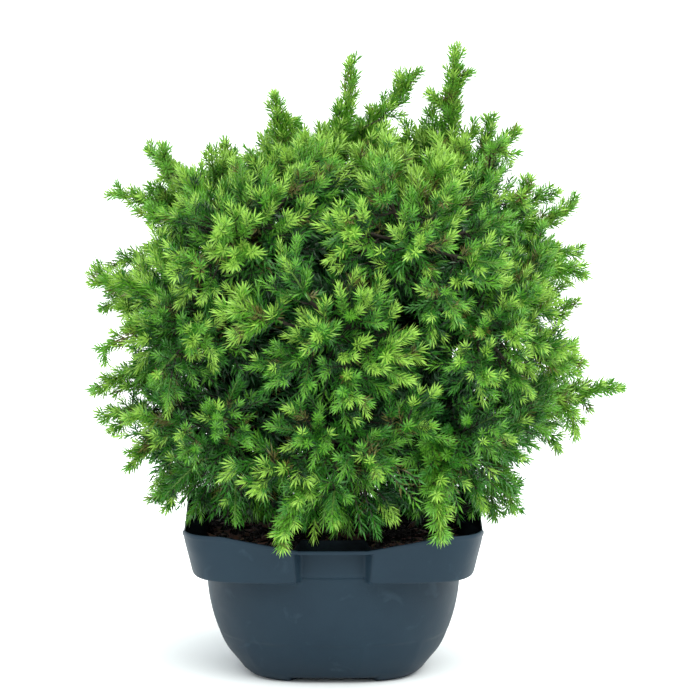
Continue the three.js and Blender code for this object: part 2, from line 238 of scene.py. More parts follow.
def wire(tree, *table):
    """Links nodes. Each row of the table is a node, its output, the next node and its input."""
    for giver, output, taker, entry in table:
        tree.links.new(giver.outputs[output], taker.inputs[entry])


def linear(r, g, b):
    """A colour as a paint chart gives it, 0 to 255, in the linear numbers that a shader takes."""
    flat = [v / 255 for v in (r, g, b)]
    return [v / 12.92 if v <= 0.04045 else ((v + 0.055) / 1.055) ** 2.4 for v in flat] + [1.0]


print("middle grey is", round(linear(128, 128, 128)[0], 3), "in linear numbers")


# %% The mottling group
def mottling_group():
    """The node group that blends two colours by a noise and gives its height."""
    group = bpy.data.node_groups.new("mottling", "ShaderNodeTree")
    for name in ("Light", "Dark"):
        group.interface.new_socket(name, in_out="INPUT", socket_type="NodeSocketColor")
    for name in ("Grain", "Contrast", "Stretch"):
        group.interface.new_socket(name, in_out="INPUT", socket_type="NodeSocketFloat")
    group.interface.new_socket("Colour", in_out="OUTPUT", socket_type="NodeSocketColor")
    group.interface.new_socket("Height", in_out="OUTPUT", socket_type="NodeSocketFloat")
    given, result = group.nodes.new("NodeGroupInput"), group.nodes.new("NodeGroupOutput")
    place = add_node(group, "TexCoord")
    scale = add_node(group, "CombineXYZ", {"X": 1.0, "Y": 1.0})
    squeeze = add_node(group, "VectorMath", operation="MULTIPLY")
    noise = add_node(group, "TexNoise", {"Detail": 5.0, "Roughness": 0.6})
    centre = add_node(group, "Math", {1: 0.5}, operation="SUBTRACT")
    sharpen = add_node(group, "Math", {2: 0.5}, operation="MULTIPLY_ADD", use_clamp=True)
    blend = add_node(group, "Mix", data_type="RGBA")
    wire(
        group,
        (given, "Stretch", scale, "Z"),
        (place, "Object", squeeze, 0),
        (scale, "Vector", squeeze, 1),
        (squeeze, "Vector", noise, "Vector"),
        (given, "Grain", noise, "Scale"),
        (noise, "Fac", centre, 0),
        (centre, "Value", sharpen, 0),
        (given, "Contrast", sharpen, 1),
        (sharpen, "Value", blend, "Factor"),
        (given, "Dark", blend, "A"),
        (given, "Light", blend, "B"),
        (blend, "Result", result, "Colour"),
        (sharpen, "Value", result, "Height"),
    )
    return group


MOTTLING = mottling_group()
print("mottling group:", [s.name for s in MOTTLING.interface.items_tree])


# %% A finish that uses the group
def mottled_finish(
    name, light, dark, grain, contrast=2.0, stretch=1.0, roughness=0.6, gloss=0.5, bump=0.0
):
    """A material whose colour comes from the mottling group. light and dark are its two colours,
    and grain is the noise's scale. Where bump is given, in metres, the group gives relief too."""
    finish = bpy.data.materials.new(name)
    finish.use_nodes = True
    tree = finish.node_tree
    shader = tree.nodes["Principled BSDF"]
    shader.inputs["Roughness"].default_value = roughness
    shader.inputs["Specular IOR Level"].default_value = gloss
    mottling = tree.nodes.new("ShaderNodeGroup")
    mottling.node_tree = MOTTLING
    own = {"Light": linear(*light), "Dark": linear(*dark)}
    own |= {"Grain": grain, "Contrast": contrast, "Stretch": stretch}
    for socket, value in own.items():
        mottling.inputs[socket].default_value = value
    wire(tree, (mottling, "Colour", shader, "Base Color"))
    if bump:
        relief = add_node(tree, "Bump", {"Strength": 0.6, "Distance": bump})
        wire(tree, (mottling, "Height", relief, "Height"), (relief, "Normal", shader, "Normal"))
    return finish


print("materials so far:", len(bpy.data.materials))

# %% [markdown]
# ## The pot's shape
# The pot is injection moulded: a round bowl on four feet under a collar that is square with round
# corners. Its rim is high at the corners and low in the middle of each side, where a shallow
# recess sets the collar back under the lip. Behind each recess the inner wall stands a little over
# the lip, and from the front it shows as a dark band, nearly black in painted shade. The wall is a
# stack of rings round the pot.
# Each ring has a radius and a height at every angle, so one formula gives a circle, a rounded
# square or a recess.

# %% Angles round the pot
COLLAR_FOOT, COLLAR_FOOT_HALF, COLLAR_FOOT_SQUARENESS = 91.0, 115.0, 5.6
RIM_HALF, RIM_SQUARENESS, RIM_MIDDLE, RIM_CORNER = 123.0, 7.5, 119.0, 130.5
RIM_THICK, RECESS_BACK, WALL = 2.6, 108.0, 2.3
# Degrees from the middle of a side to its corner, closer together at the recess and the corner.
SIDE_STEPS = [*range(0, 12, 2), *np.arange(12, 16, 0.5), *range(16, 26, 2), *range(26, 30)]
SIDE_STEPS = np.array([*SIDE_STEPS, *np.arange(30, 45.1, 1.5)], dtype=float)


def eased(low, high, v):
    """0 below low, 1 above high, and an S curve between."""
    share = np.clip((v - low) / (high - low), 0, 1)
    return share * share * (3 - 2 * share)


def rim_height(turn):
    """The rim's height at an angle: low in the middle of a side, high towards the corners."""
    x, y = np.abs(np.cos(turn)), np.abs(np.sin(turn))
    along = RIM_HALF * np.minimum(x, y) / np.maximum(x, y)
    return mix(RIM_MIDDLE, RIM_CORNER, np.clip((along - 28) / 64, 0, 1))


one_side = np.concatenate([-SIDE_STEPS[:0:-1], SIDE_STEPS[:-1]])
off_middle = np.tile(np.abs(one_side), 4)
turns = np.radians(np.concatenate([side * 90 + one_side for side in range(4)]))
recess = 1 - eased(13.4, 14.9, off_middle)
foot = eased(26.6, 29.4, off_middle)
rim = rim_height(turns)
print(len(turns), "angles round the pot, rim from", rim.min(), "to", rim.max(), "mm")


# %% Rings of the pot's wall
def rounded_square(half, squareness):
    """Radius of a square with round corners. A squareness of 2 is a circle, and more is squarer."""
    x, y = np.abs(np.cos(turns)), np.abs(np.sin(turns))
    return half / (x**squareness + y**squareness) ** (1 / squareness)


def ring(radius, height):
    """The points of one ring. radius and height are one number or one for each angle."""
    radius = np.broadcast_to(radius, turns.shape)
    height = np.broadcast_to(height, turns.shape)
    return np.stack([radius * np.cos(turns), radius * np.sin(turns), height], axis=-1)


print("a ring has", len(ring(RIM_HALF, 0.0)), "points")

# %% [markdown]
# The bowl's outside is given at a few heights only. A smooth curve through them fills in the
# rings between, because a moulded bowl has no steps. Low on the bowl twelve flat facets show
# faintly, left by the way that the mould was cut, so the rings there lean a little towards a
# twelve-sided shape.


# %% The bowl's outside
def smooth_through(xs, ys, x):
    """A smooth curve through given points, read at x."""
    slopes = np.gradient(ys, xs)
    i = np.clip(np.searchsorted(xs, x) - 1, 0, len(xs) - 2)
    gap = xs[i + 1] - xs[i]
    t = (x - xs[i]) / gap
    start = (1 + 2 * t) * (1 - t) ** 2 * ys[i] + t * (1 - t) ** 2 * gap * slopes[i]
    end = t * t * (3 - 2 * t) * ys[i + 1] + t * t * (t - 1) * gap * slopes[i + 1]
    return start + end


BOWL_HEIGHTS = np.array([6.0, 20, 40, 65, 90])
BOWL_HALVES = np.array([75.5, 87.5, 97, 103.2, 104.8])
BOWL_SQUARENESS = np.array([3.0, 2.6, 2.4, 2.4, 2.4])
FACET = 30  # degrees from the middle of one facet to the next
off_facet = np.radians((np.degrees(turns) + FACET / 2) % FACET - FACET / 2)
facet_dip = 1 - math.cos(math.radians(FACET / 2)) / np.cos(off_facet)


def bowl_radius(height):
    """Radius of the bowl's outside at a height, with its faint facets low down."""
    half = smooth_through(BOWL_HEIGHTS, BOWL_HALVES, height)
    squareness = smooth_through(BOWL_HEIGHTS, BOWL_SQUARENESS, height)
    faceted = 0.34 * (1 - float(eased(33, 37, height))) * float(eased(4, 12, height))
    return rounded_square(half, squareness) * (1 - faceted * facet_dip)


print("bowl 50 mm up:", round(float(bowl_radius(50.0).min()), 1), "mm at its narrowest")


# %% The collar's outside
def wall_radius(half, squareness, back):
    """Radius of the collar's wall. A recess sets it back to the bowl's line."""
    full = rounded_square(half, squareness)
    return mix(full, np.minimum(back, full), recess)


collar_foot = wall_radius(COLLAR_FOOT_HALF, COLLAR_FOOT_SQUARENESS, RECESS_BACK - 1)
collar_head = wall_radius(RIM_HALF - 1, RIM_SQUARENESS, RECESS_BACK + 0.8)
rim_edge = rounded_square(RIM_HALF, RIM_SQUARENESS)
print("the collar's corner is", round(float(rim_edge.max()), 1), "mm from the middle")

# %% [markdown]
# The rings go up the outside, over the rim and down the inside to the floor. Each visible edge is
# turned by three or four rings close together, which gives the rounded edge of real plastic and
# catches a thin line of light. A skin of quads joins the rings. The drain holes under the bowl
# are four small skins of their own, let into the underside.


# %% Rings up the outside
def outer_rings():
    """Rings from the disc that the pot stands on, up the outside and over the rim."""
    foot_radius = rounded_square(68, 3)
    under = 4 * (1 - foot)
    lip = COLLAR_FOOT + 2.5 * recess
    rings = [ring(30, 0.0), ring(31.2, 0.6), ring(32, 4), ring(50, 4), ring(52, under)]
    rings += [ring(foot_radius - 1.5, under), ring(foot_radius, np.maximum(under, 0.5))]
    rings += [ring(foot_radius + 3.6, np.maximum(under, 2.4))]
    bowl = [6.0, 9, 13, 17, 21, 25, 29, 32, *np.arange(33.2, 38, 0.8)]
    bowl += [41.0, 46.0, 52.0, 58.0, 65.0, 72.0, 80.0, 86.0, 89.4]
    rings += [ring(bowl_radius(z), z) for z in bowl]
    rings += [ring(collar_foot - 1.6, lip - 0.2), ring(collar_foot - 0.5, lip)]
    rings += [ring(collar_foot + 0.4, lip + 0.6), ring(collar_foot + 1.1, lip + 1.9)]
    for share in (0.15, 0.35, 0.6, 0.85):
        height = mix(lip + 2.6, rim - 5.6, share)
        rings.append(ring(mix(collar_foot + 1.2, collar_head, share), height))
    rings += [ring(collar_head, rim - 4.9), ring(collar_head + 0.25, rim - 4.3)]
    rings += [ring(mix(collar_head, rim_edge, 0.7), rim - 3.4), ring(rim_edge - 0.15, rim - 2.9)]
    for less, down in [(0, 2.2), (0, 1.1), (0.25, 0.45), (0.7, 0.1), (1.3, 0.0), (1.9, 0.1)]:
        rings.append(ring(rim_edge - less, rim - down))
    return rings + [ring(rim_edge - 2.35, rim - 0.45), ring(rim_edge - RIM_THICK, rim - 1.1)]


outside = outer_rings()
print("the pot's outside has", len(outside), "rings")


# %% Rings down the inside
def inner_rings():
    """Rings down the inside to the floor. Behind a recess the wall first stands up."""
    back = mix(rim_edge - RIM_THICK - 0.1, collar_head - 0.3, recess)
    wall_top = [(0.1, 1.4, -1.4), (0.2, 1.5, 5.5), (0.5, 1.6, 6.2), (1.2, 1.7, 6.2), (1.6, 1.8, 5.6)]
    rings = []
    for inward, down, up in wall_top:
        radius = back - inward * mix(0.15, 1, recess)
        rings.append(ring(radius, rim + mix(-down, up, recess)))
    head = collar_head - WALL
    rings += [ring(head + 0.3, rim - 2.1 - 2.5 * recess), ring(head, rim - 2.9 - 2.5 * recess)]
    rings += [ring(mix(collar_foot, collar_head, 0.5) - WALL, 109.0)]
    rings += [ring(collar_foot - WALL, COLLAR_FOOT + 3.4)]
    rings += [ring(bowl_radius(z) - WALL, z + 0.9) for z in [90.0, 78, 65, 52, 40, 30, 20]]
    return rings + [ring(rounded_square(68, 3) + 2 - WALL, 7.6), ring(30, 6.4)]


inside = inner_rings()
print("the pot's inside has", len(inside), "rings")


# %% Skins over rings
def skin(rings):
    """Points and four-sided faces between rings, with a cap of quads at each end."""
    points = np.concatenate(rings)
    count, last = len(rings[0]), len(rings) - 1
    i = np.arange(last)[:, None] * count
    j = np.arange(count)[None, :]
    after = (j + 1) % count
    sides = np.stack([i + j, i + after, i + count + after, i + count + j], axis=-1).reshape(-1, 4)
    half = np.arange(count // 2 - 1)
    low = np.stack([half, count - 1 - half, count - 2 - half, half + 1], axis=-1)
    high = low[:, ::-1] + last * count
    return points, np.concatenate([sides, low, high])


def joined(skins):
    """Several skins as one."""
    shift = np.cumsum([0] + [len(points) for points, _ in skins[:-1]])
    points = np.concatenate([points for points, _ in skins])
    return points, np.concatenate([faces + s for (_, faces), s in zip(skins, shift)])


wall_skin = skin(outside + inside)
print("the wall's skin has", len(wall_skin[1]), "faces")

# %% The drain holes
DRAIN_FROM_MIDDLE, DRAIN_POINTS = 41, 24
DRAIN_EDGE = [(5, 3.85), (5, 3.4), (5.4, 3.1), (6.1, 3.1), (6.4, 3.4), (6.4, 4.3)]  # radius, height


def drain(turn):
    """A drain hole under the pot: a low raised edge round a floor painted dark as the open hole."""
    x, y = DRAIN_FROM_MIDDLE * math.cos(turn), DRAIN_FROM_MIDDLE * math.sin(turn)
    around = np.linspace(0, 2 * np.pi, DRAIN_POINTS, endpoint=False)
    rings = []
    for radius, height in DRAIN_EDGE:
        edge = [x + radius * np.cos(around), y + radius * np.sin(around), height + 0 * around]
        rings.append(np.stack(edge, axis=-1))
    return skin(rings)


drains = [drain(math.radians(quarter)) for quarter in (0, 90, 180, 270)]
print(len(drains), "drain holes of", 2 * DRAIN_EDGE[0][0], "mm across")

# %% The pot in one, with its parts in painted shade
# The inside, the rim's inner edge and each drain hole's floor get the near black plastic: painted shade.
INNER_EDGE_RINGS = 4  # the last rings of the outside are the rim's inner edge, which is dark too
pot_points, pot_faces = joined([wall_skin] + drains)
painted_shade = np.zeros(len(pot_faces), dtype=int)
inner_edge = (len(outside) - INNER_EDGE_RINGS) * len(turns)
painted_shade[inner_edge : (len(outside) + len(inside) - 1) * len(turns)] = 1
first_drain = len(pot_faces) - sum(len(faces) for _, faces in drains)
for number, (_, faces) in enumerate(drains):
    hole = first_drain + number * len(faces) + (len(DRAIN_EDGE) - 1) * DRAIN_POINTS
    # The floor in each drain hole is painted dark, standing for the open hole.
    painted_shade[hole : hole + DRAIN_POINTS // 2 - 1] = 1
print("pot:", len(pot_points), "points,", len(pot_faces), "faces,", painted_shade.sum(), "of them stained")

# %% [markdown]
# ## The pot's finish
# Nursery pots are dull polypropylene. The colour is even, with a faint cloudiness where dust and
# lime from watering have dried, small pale scuffs from handling, and a very fine grain. The
# roughness follows the same marks, because a scuff is duller than the plastic round it. Inside,
# and in the drain holes, the plastic is painted nearly black and without gloss. This is painted
# shade: the crown keeps the light out of the pot, and a drain hole's floor stands for the open hole.


# %% The pot's materials
def slate_plastic():
    """Dull slate blue plastic with dust, pale scuffs and a fine grain."""
    finish = mottled_finish(
        "slate_plastic", (27, 45, 57), (20, 36, 48), grain=16.0, contrast=1.6, roughness=0.55, gloss=0.16
    )
    tree = finish.node_tree
    shader = tree.nodes["Principled BSDF"]
    mottling = next(n for n in tree.nodes if n.type == "GROUP")
    place = add_node(tree, "TexCoord")
    marks = add_node(tree, "TexNoise", {"Scale": 46.0, "Detail": 7.0, "Distortion": 0.8})
    pick = add_node(tree, "ValToRGB")
    pick.color_ramp.elements[0].position = 0.62
    pick.color_ramp.elements[1].position = 0.78
    weaken = add_node(tree, "Math", {1: 0.35}, operation="MULTIPLY")
    scuffed = add_node(tree, "Mix", {"B": linear(58, 76, 88)}, data_type="RGBA")
    dull = add_node(tree, "MapRange", {"To Min": 0.44, "To Max": 0.62})
    grain = add_node(tree, "TexNoise", {"Scale": 900.0, "Detail": 2.0})
    relief = add_node(tree, "Bump", {"Strength": 0.25, "Distance": 0.0003})
    wire(
        tree,
        (place, "Object", marks, "Vector"),
        (marks, "Fac", pick, "Fac"),
        (pick, "Color", weaken, 0),
        (weaken, "Value", scuffed, "Factor"),
        (mottling, "Colour", scuffed, "A"),
        (scuffed, "Result", shader, "Base Color"),
        (marks, "Fac", dull, "Value"),
        (dull, "Result", shader, "Roughness"),
        (place, "Object", grain, "Vector"),
        (grain, "Fac", relief, "Height"),
        (relief, "Normal", shader, "Normal"),
    )
    return finish


# Painted shade: nearly black and without gloss, for the inside of the pot under the crown.
shade_painted_plastic = mottled_finish(
    "shade_painted_plastic", (20, 27, 31), (9, 11, 12), grain=60.0, roughness=0.85, gloss=0.0
)
pot_finishes = [slate_plastic(), shade_painted_plastic]
pot = piece_from_arrays("nursery_pot", pot_points, pot_faces, pot_finishes, painted_shade)
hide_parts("pot")
print("nursery_pot:", triangles_in(pot), "triangles")

# %% [markdown]
# ## The compost
# Potting compost is a dark loose mix of peat and bark. Its top is lumpy. It is heaped a little in
# the middle, and pressed up along the wall and into the corners, where it shows over the rim. The
# body of it fills the pot, and loose bits lie on it: dark crumbs, redder chips of bark and a few
# dead needles from the shrub. Each bit is a small lump pulled out of shape, and all of them are
# one mesh.

# %% The body of the compost
COMPOST_LEVEL = 110.0


def compost_top(x, y):
    """Height of the compost at a place, in mm, with its lumps."""
    flat = np.stack([x, y, np.zeros_like(x)], axis=-1)
    reach = np.hypot(x, y)
    heaped = 3 * (1 - eased(20, 80, reach))
    pressed_up = 5 * eased(70, 104, reach) + 7 * eased(108, 140, reach)
    lumps = 1.5 * soft_noise(flat, 17, 21) + 0.9 * soft_noise(flat, 6, 22)
    return COMPOST_LEVEL + heaped + pressed_up + lumps


def compost_rings():
    """Rings from the floor up along the wall, and in over the top to the middle."""
    wall = mix(collar_foot, collar_head, 0.5) - WALL - 0.6
    rings = []
    for share in np.concatenate([[0.03], np.linspace(0.06, 1, 32)]):
        flat = ring(wall * share, 0.0)
        height = np.minimum(compost_top(flat[:, 0], flat[:, 1]), rim - 2.5)
        rings.append(ring(wall * share, height))
    rings.append(ring(np.minimum(collar_foot - WALL - 0.5, wall), COLLAR_FOOT + 3.4))
    rings += [ring(bowl_radius(z) - WALL - 0.5, z + 0.9) for z in [90.0, 78, 65, 52, 40, 30, 20]]
    rings += [ring(rounded_square(70, 3) - WALL - 0.5, 8.2), ring(30, 7.2)]
    return rings[::-1]


# Peat is dark brown. Here it is painted darker still, near black, as painted shade under the crown.
compost_finish = mottled_finish(
    "peat_compost", (19, 15, 13), (6, 5, 5), grain=220.0, contrast=3.0, roughness=0.95, gloss=0.05,
    bump=0.0016,
)
compost = piece_from_arrays("peat_compost", *skin(compost_rings()), [compost_finish])
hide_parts("compost")
print("peat_compost:", triangles_in(compost), "triangles")

# %% The loose bits on the compost
BIT_CORNERS = [(1, 0.2, 0), (0.3, 1, 0), (-1, 0.1, 0), (-0.2, -1, 0), (0.1, 0, 1), (0, 0.1, -1)]
BIT_FACES = [(0, 1, 4), (1, 2, 4), (2, 3, 4), (3, 0, 4), (1, 0, 5), (2, 1, 5), (3, 2, 5), (0, 3, 5)]
BITS_REACH, BITS_SQUARENESS = 101, 7  # half the width that they lie over, in mm, and its corners


def loose_bits(count):
    """Points, faces and a kind for each face, for the bits that lie on the compost."""
    i = np.arange(count)
    turn = chance(i, 31) * 2 * np.pi
    reach = np.sqrt(mix(0.03, 1, chance(i, 32))) * BITS_REACH
    sum_of_powers = np.abs(np.cos(turn)) ** BITS_SQUARENESS + np.abs(np.sin(turn)) ** BITS_SQUARENESS
    corner_room = 1 / sum_of_powers ** (1 / BITS_SQUARENESS)
    x, y = reach * corner_room * np.cos(turn), reach * corner_room * np.sin(turn)
    kind = np.digitize(chance(i, 33), [0.72, 0.88])
    kinds = [kind == 0, kind == 1]  # crumbs and chips, and the rest are dead needles
    crumb_size, chip_size = mix(1.2, 3.2, chance(i, 34)), mix(1.8, 6.4, chance(i, 34))
    size = np.select(kinds, [crumb_size, chip_size], 1.0)
    length = np.select(kinds, [size, size * mix(1.0, 2.4, chance(i, 35))], 4.2)
    thick = np.select(kinds, [size * 0.8, size * 0.35], 0.5)
    spin = chance(i, 36) * 2 * np.pi
    tilt = mix(-0.5, 0.5, chance(i, 37))
    level = np.cos(tilt)
    along = np.stack([np.cos(spin) * level, np.sin(spin) * level, np.sin(tilt)], axis=-1)
    across = unit(np.cross([0.0, 0, 1], along))
    up = np.cross(along, across)
    centre = np.stack([x, y, compost_top(x, y) + thick * 0.35], axis=-1)
    corners = []
    for corner, (a, b, h) in enumerate(BIT_CORNERS):
        pull = mix(0.6, 1.1, chance(i * 6 + corner, 38))[:, None]
        offset = along * (a * length)[:, None] + across * (b * size)[:, None]
        corners.append(centre + (offset + up * (h * thick)[:, None]) * pull)
    faces = (i[:, None, None] * 6 + np.array(BIT_FACES)[None]).reshape(-1, 3)
    return np.stack(corners, axis=1).reshape(-1, 3), faces, np.repeat(kind, len(BIT_FACES))


print("each bit has", len(BIT_FACES), "faces")

# %% Scatter the bits
# The crumbs too are painted near black, as painted shade under the crown.
crumb = mottled_finish("peat_crumb", (18, 14, 11), (7, 6, 5), grain=500.0, contrast=3.0, roughness=0.95)
chip = mottled_finish("bark_chip", (88, 54, 44), (40, 25, 20), grain=300.0, contrast=2.6, roughness=0.85)
litter = mottled_finish("dead_needle", (86, 62, 42), (52, 36, 25), grain=300.0, roughness=0.8)
bit_points, bit_faces, bit_kinds = loose_bits(count=2100)
bits = piece_from_arrays(
    "compost_bits", bit_points, bit_faces, [crumb, chip, litter], bit_kinds, smooth=False
)
print("compost_bits:", triangles_in(bits), "triangles")

# %% [markdown]
# ## The crown's plan
# The shrub was never clipped. Its crown is a plump dome, a little squarer than a ball, and made of
# soft plumes that each grow on one bough. The rule here is the one that made the CAD solids:
# nineteen masses in four tiers, twig tips spread over the dome by the golden angle as seeds are
# in a sunflower, and a few leaders that stand out of it.

# %% The dome and its masses
CROWN_CENTRE = np.array([6.0, 0.0, 286.0])
CROWN_ACROSS, CROWN_UP, CROWN_SQUARENESS = 198.0, 173.0, 3
TIERS = [(0.96, 1, 200), (0.6, 5, 12), (0.06, 6, 30), (-0.6, 7, 270)]  # rise, count, first angle
MASS_AT, BOUGH_END = 0.64, 0.42
GOLDEN = math.pi * (3 - math.sqrt(5))


def outline(way):
    """Distance from the crown's centre to the dome in a direction."""
    flat = np.hypot(way[..., 0], way[..., 1]) / CROWN_ACROSS
    tall = np.abs(way[..., 2]) / CROWN_UP
    return (flat**CROWN_SQUARENESS + tall**CROWN_SQUARENESS) ** (-1 / CROWN_SQUARENESS)


def in_crown(way, share):
    """The point at a share of the way from the crown's centre to the dome."""
    return CROWN_CENTRE + way * (outline(way) * share)[..., None]


def depth_in(points):
    """The share of the way from the crown's centre to the dome: 1 is on it."""
    way = points - CROWN_CENTRE
    return np.linalg.norm(way, axis=-1) / outline(unit(way))


def direction(rise, turn):
    """A direction from its rise, -1 to 1, and its angle seen from above."""
    flat = np.sqrt(1 - np.square(rise))
    return np.stack([flat * np.cos(turn), flat * np.sin(turn), rise * np.ones_like(turn)], axis=-1)


tiers = [direction(rise, np.radians(first + np.arange(n) * 360 / n)) for rise, n, first in TIERS]
mass_ways = np.concatenate(tiers)
mass_centres = in_crown(mass_ways, np.full(len(mass_ways), MASS_AT))
bough_ends = in_crown(mass_ways, np.full(len(mass_ways), BOUGH_END))
print(len(mass_ways), "masses, the highest centred", round(float(mass_centres[:, 2].max())), "mm up")

# %% [markdown]
# ## The trunk and the boughs
# A slim trunk rises from the compost with a small flare of roots, and leans a little. The boughs
# leave it one under another, and each goes on through its mass as the stem that the twigs grow
# from. The bark of this tree peels in long strips, so the relief follows the limb: ridges that
# run along it, wander a little, and are broken by fine noise.

# %% The trunk's line
SOIL_TOP, TRUNK_TOP, TRUNK_LEAN = 113.0, 352.0, 9.0


def trunk_axis(height):
    """The trunk's middle at a height."""
    share = (height - SOIL_TOP) / (TRUNK_TOP - SOIL_TOP)
    x = TRUNK_LEAN * share + 2.5 * np.sin(share * 5)
    return np.stack([x, 2 * np.sin(share * 4 + 1) - 1.7, height], axis=-1)


print("the trunk's top is at", np.round(trunk_axis(TRUNK_TOP), 1), "mm")


# %% Curves and the directions beside them
def along_curve(p0, p1, p2, t):
    """Points on a curve that leaves p0 towards p1 and ends at p2."""
    t = t[..., None]
    return (1 - t) ** 2 * p0 + 2 * t * (1 - t) * p1 + t**2 * p2


def curve_way(p0, p1, p2, t):
    """The direction of the same curve."""
    t = t[..., None]
    return unit((1 - t) * (p1 - p0) + t * (p2 - p1))


def frames(ways):
    """Two directions square to each way and to each other."""
    side = unit(np.cross(np.array([0.31, 0.17, 0.93]), ways))
    return side, np.cross(ways, side)


halfway = along_curve(*np.eye(3), np.array([0.5]))[0]
print("half way from x, past y, to z:", halfway)

# %% A limb with its bark
TRUNK_FOOT, TRUNK_RADIUS, TRUNK_TIP = 15.0, 8.5, 3.2  # radii in mm
TRUNK_SIDES, BOUGH_SIDES = 48, 14


def bark_relief(along, turn, radius, use):
    """How far the bark stands out, in mm: peeling strips along the limb, and fine noise."""
    along, turn, radius = np.broadcast_arrays(along, turn, radius)
    wander = 1.6 * np.sin(along / 23 + use) + 0.7 * np.sin(along / 8.5 + 2 * use)
    strips = np.abs(np.sin(radius * 0.62 * turn + wander + 0.8 * np.sin(3 * turn + along / 31)))
    spot = np.stack([radius * np.cos(turn), radius * np.sin(turn), along * 0.35], axis=-1)
    return radius * (0.075 * strips + 0.05 * soft_noise(spot, 1.6, use))


def limb(line, radii, sides, use):
    """A limb's rings along a line, with the bark's relief."""
    ways = unit(np.gradient(line, axis=0))
    side, up = frames(ways)
    turn = np.linspace(0, 2 * np.pi, sides, endpoint=False)[None, :]
    along = np.concatenate([[0], np.cumsum(np.linalg.norm(np.diff(line, axis=0), axis=1))])[:, None]
    radius = radii if radii.ndim == 2 else radii[:, None] + 0 * turn
    radius = radius + bark_relief(along, turn, radii.mean(), use)
    spokes = side[:, None] * np.cos(turn)[..., None] + up[:, None] * np.sin(turn)[..., None]
    return list(line[:, None] + spokes * radius[..., None])


proud = bark_relief(np.arange(200.0), 0.0, TRUNK_RADIUS, 3)
print("the trunk's bark stands out by", proud.min().round(1), "to", proud.max().round(1), "mm")

# %% The trunk's and the boughs' rings
BOUGH_LOWEST, BOUGH_RADIUS, BOUGH_TIP, BOUGH_SAG = 172.0, 4.2, 2.6, 0.08


def trunk_rings():
    """The trunk from its flat foot on the compost to its top."""
    share = np.concatenate([np.linspace(0, 0.1, 16), np.linspace(0.112, 1, 74)])
    line = trunk_axis(mix(SOIL_TOP + 0.3, TRUNK_TOP, share))
    turn = np.linspace(0, 2 * np.pi, TRUNK_SIDES, endpoint=False)[None, :]
    flare = (TRUNK_FOOT - TRUNK_RADIUS) * np.exp(-share * 14)[:, None]
    radii = mix(TRUNK_RADIUS, TRUNK_TIP, share)[:, None] + flare * (1 + 0.28 * np.cos(5 * turn + 0.6))
    rings = limb(line, radii, TRUNK_SIDES, use=3)
    rings[0][:, 2] = SOIL_TOP + 0.3
    return rings


def bough_lines(mass):
    """A bough's line, and on from its tip to the middle of its mass."""
    start = trunk_axis(mix(TRUNK_TOP - 12, BOUGH_LOWEST, mass / (len(mass_ways) - 1)))
    end = bough_ends[mass]
    bend = (start + end) / 2 - np.array([0, 0, BOUGH_SAG * np.linalg.norm(end - start)])
    bough = along_curve(start, bend, end, np.linspace(0, 1, 16))
    ahead = end + unit(end - bend) * 8
    stem = along_curve(end, ahead, mass_centres[mass], np.linspace(0, 1, 9))[1:]
    radii = np.concatenate([np.linspace(BOUGH_RADIUS, BOUGH_TIP, 16), np.linspace(2.5, 1.6, 8)])
    return np.concatenate([bough, stem]), radii


print("the trunk has", len(trunk_rings()), "rings, and each bough", len(bough_lines(0)[1]))

# %% Build the trunk and the boughs
bark = mottled_finish(
    "peeling_bark", (62, 46, 34), (28, 21, 16), grain=130.0, contrast=2.6, stretch=0.25, roughness=0.88,
    bump=0.0009,
)
boughs = [limb(*bough_lines(m), BOUGH_SIDES, use=5 + m) for m in range(len(mass_ways))]
limbs = joined([skin(rings) for rings in [trunk_rings()] + boughs])
bark_piece = piece_from_arrays("trunk_and_boughs", *limbs, [bark])
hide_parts("trunk", *[f"bough_{m + 1:02d}" for m in range(19)])
print("trunk_and_boughs:", triangles_in(bark_piece), "triangles")

# %% [markdown]
# ## The leaders
# Leaders are the strong shoots that stand out of the dome. Each is told by its tip and by a place
# on its way out, so it bends as the real one does. The first table is also in the CAD source. The
# second adds short shoots beside them, which give the crown its ragged edge.

# %% The leaders' places
LEADERS = {  # x, y and z of the tip, then of the place on its way, in mm
    "tallest": (102, 4, 515, 97, 4, 478),
    "middle": (14, 10, 504, 13, 8, 470),
    "left_of_middle": (-47, -8, 476, -45, -6, 452),
    "forked": (69, 30, 492, 44, 26, 464),
    "right_shoulder": (129, 20, 455, 125, 18, 434),
    "right_shoulder_back": (151, 40, 442, 140, 38, 431),
    "left_shoulder": (-153, 14, 429, -136, 13, 415),
    "left_shoulder_back": (-91, 50, 428, -84, 46, 410),
    "left_high": (-181, -14, 397, -158, -12, 391),
    "left_side": (-197, 30, 329, -182, 26, 315),
    "left_low": (-196, -14, 230, -182, -13, 241),
    "left_foot": (-145, -52, 148, -131, -46, 161),
    "right_high": (200, 8, 388, 181, 7, 374),
    "right_side": (207, -24, 330, 190, -22, 334),
    "right_reach": (238, 6, 232, 212, 6, 231),
    "right_low": (200, -22, 197, 194, -20, 214),
    "right_foot": (149, -8, 130, 144, -8, 146),
    "front_droop": (-43, -166, 129, -33, -158, 158),
    "front_droop_right": (88, -152, 133, 83, -144, 162),
    "back_high": (-30, 120, 436, -28, 112, 424),
    "back_reach": (60, 203, 330, 54, 180, 316),
    "back_low": (-90, 186, 205, -84, 172, 216),
}
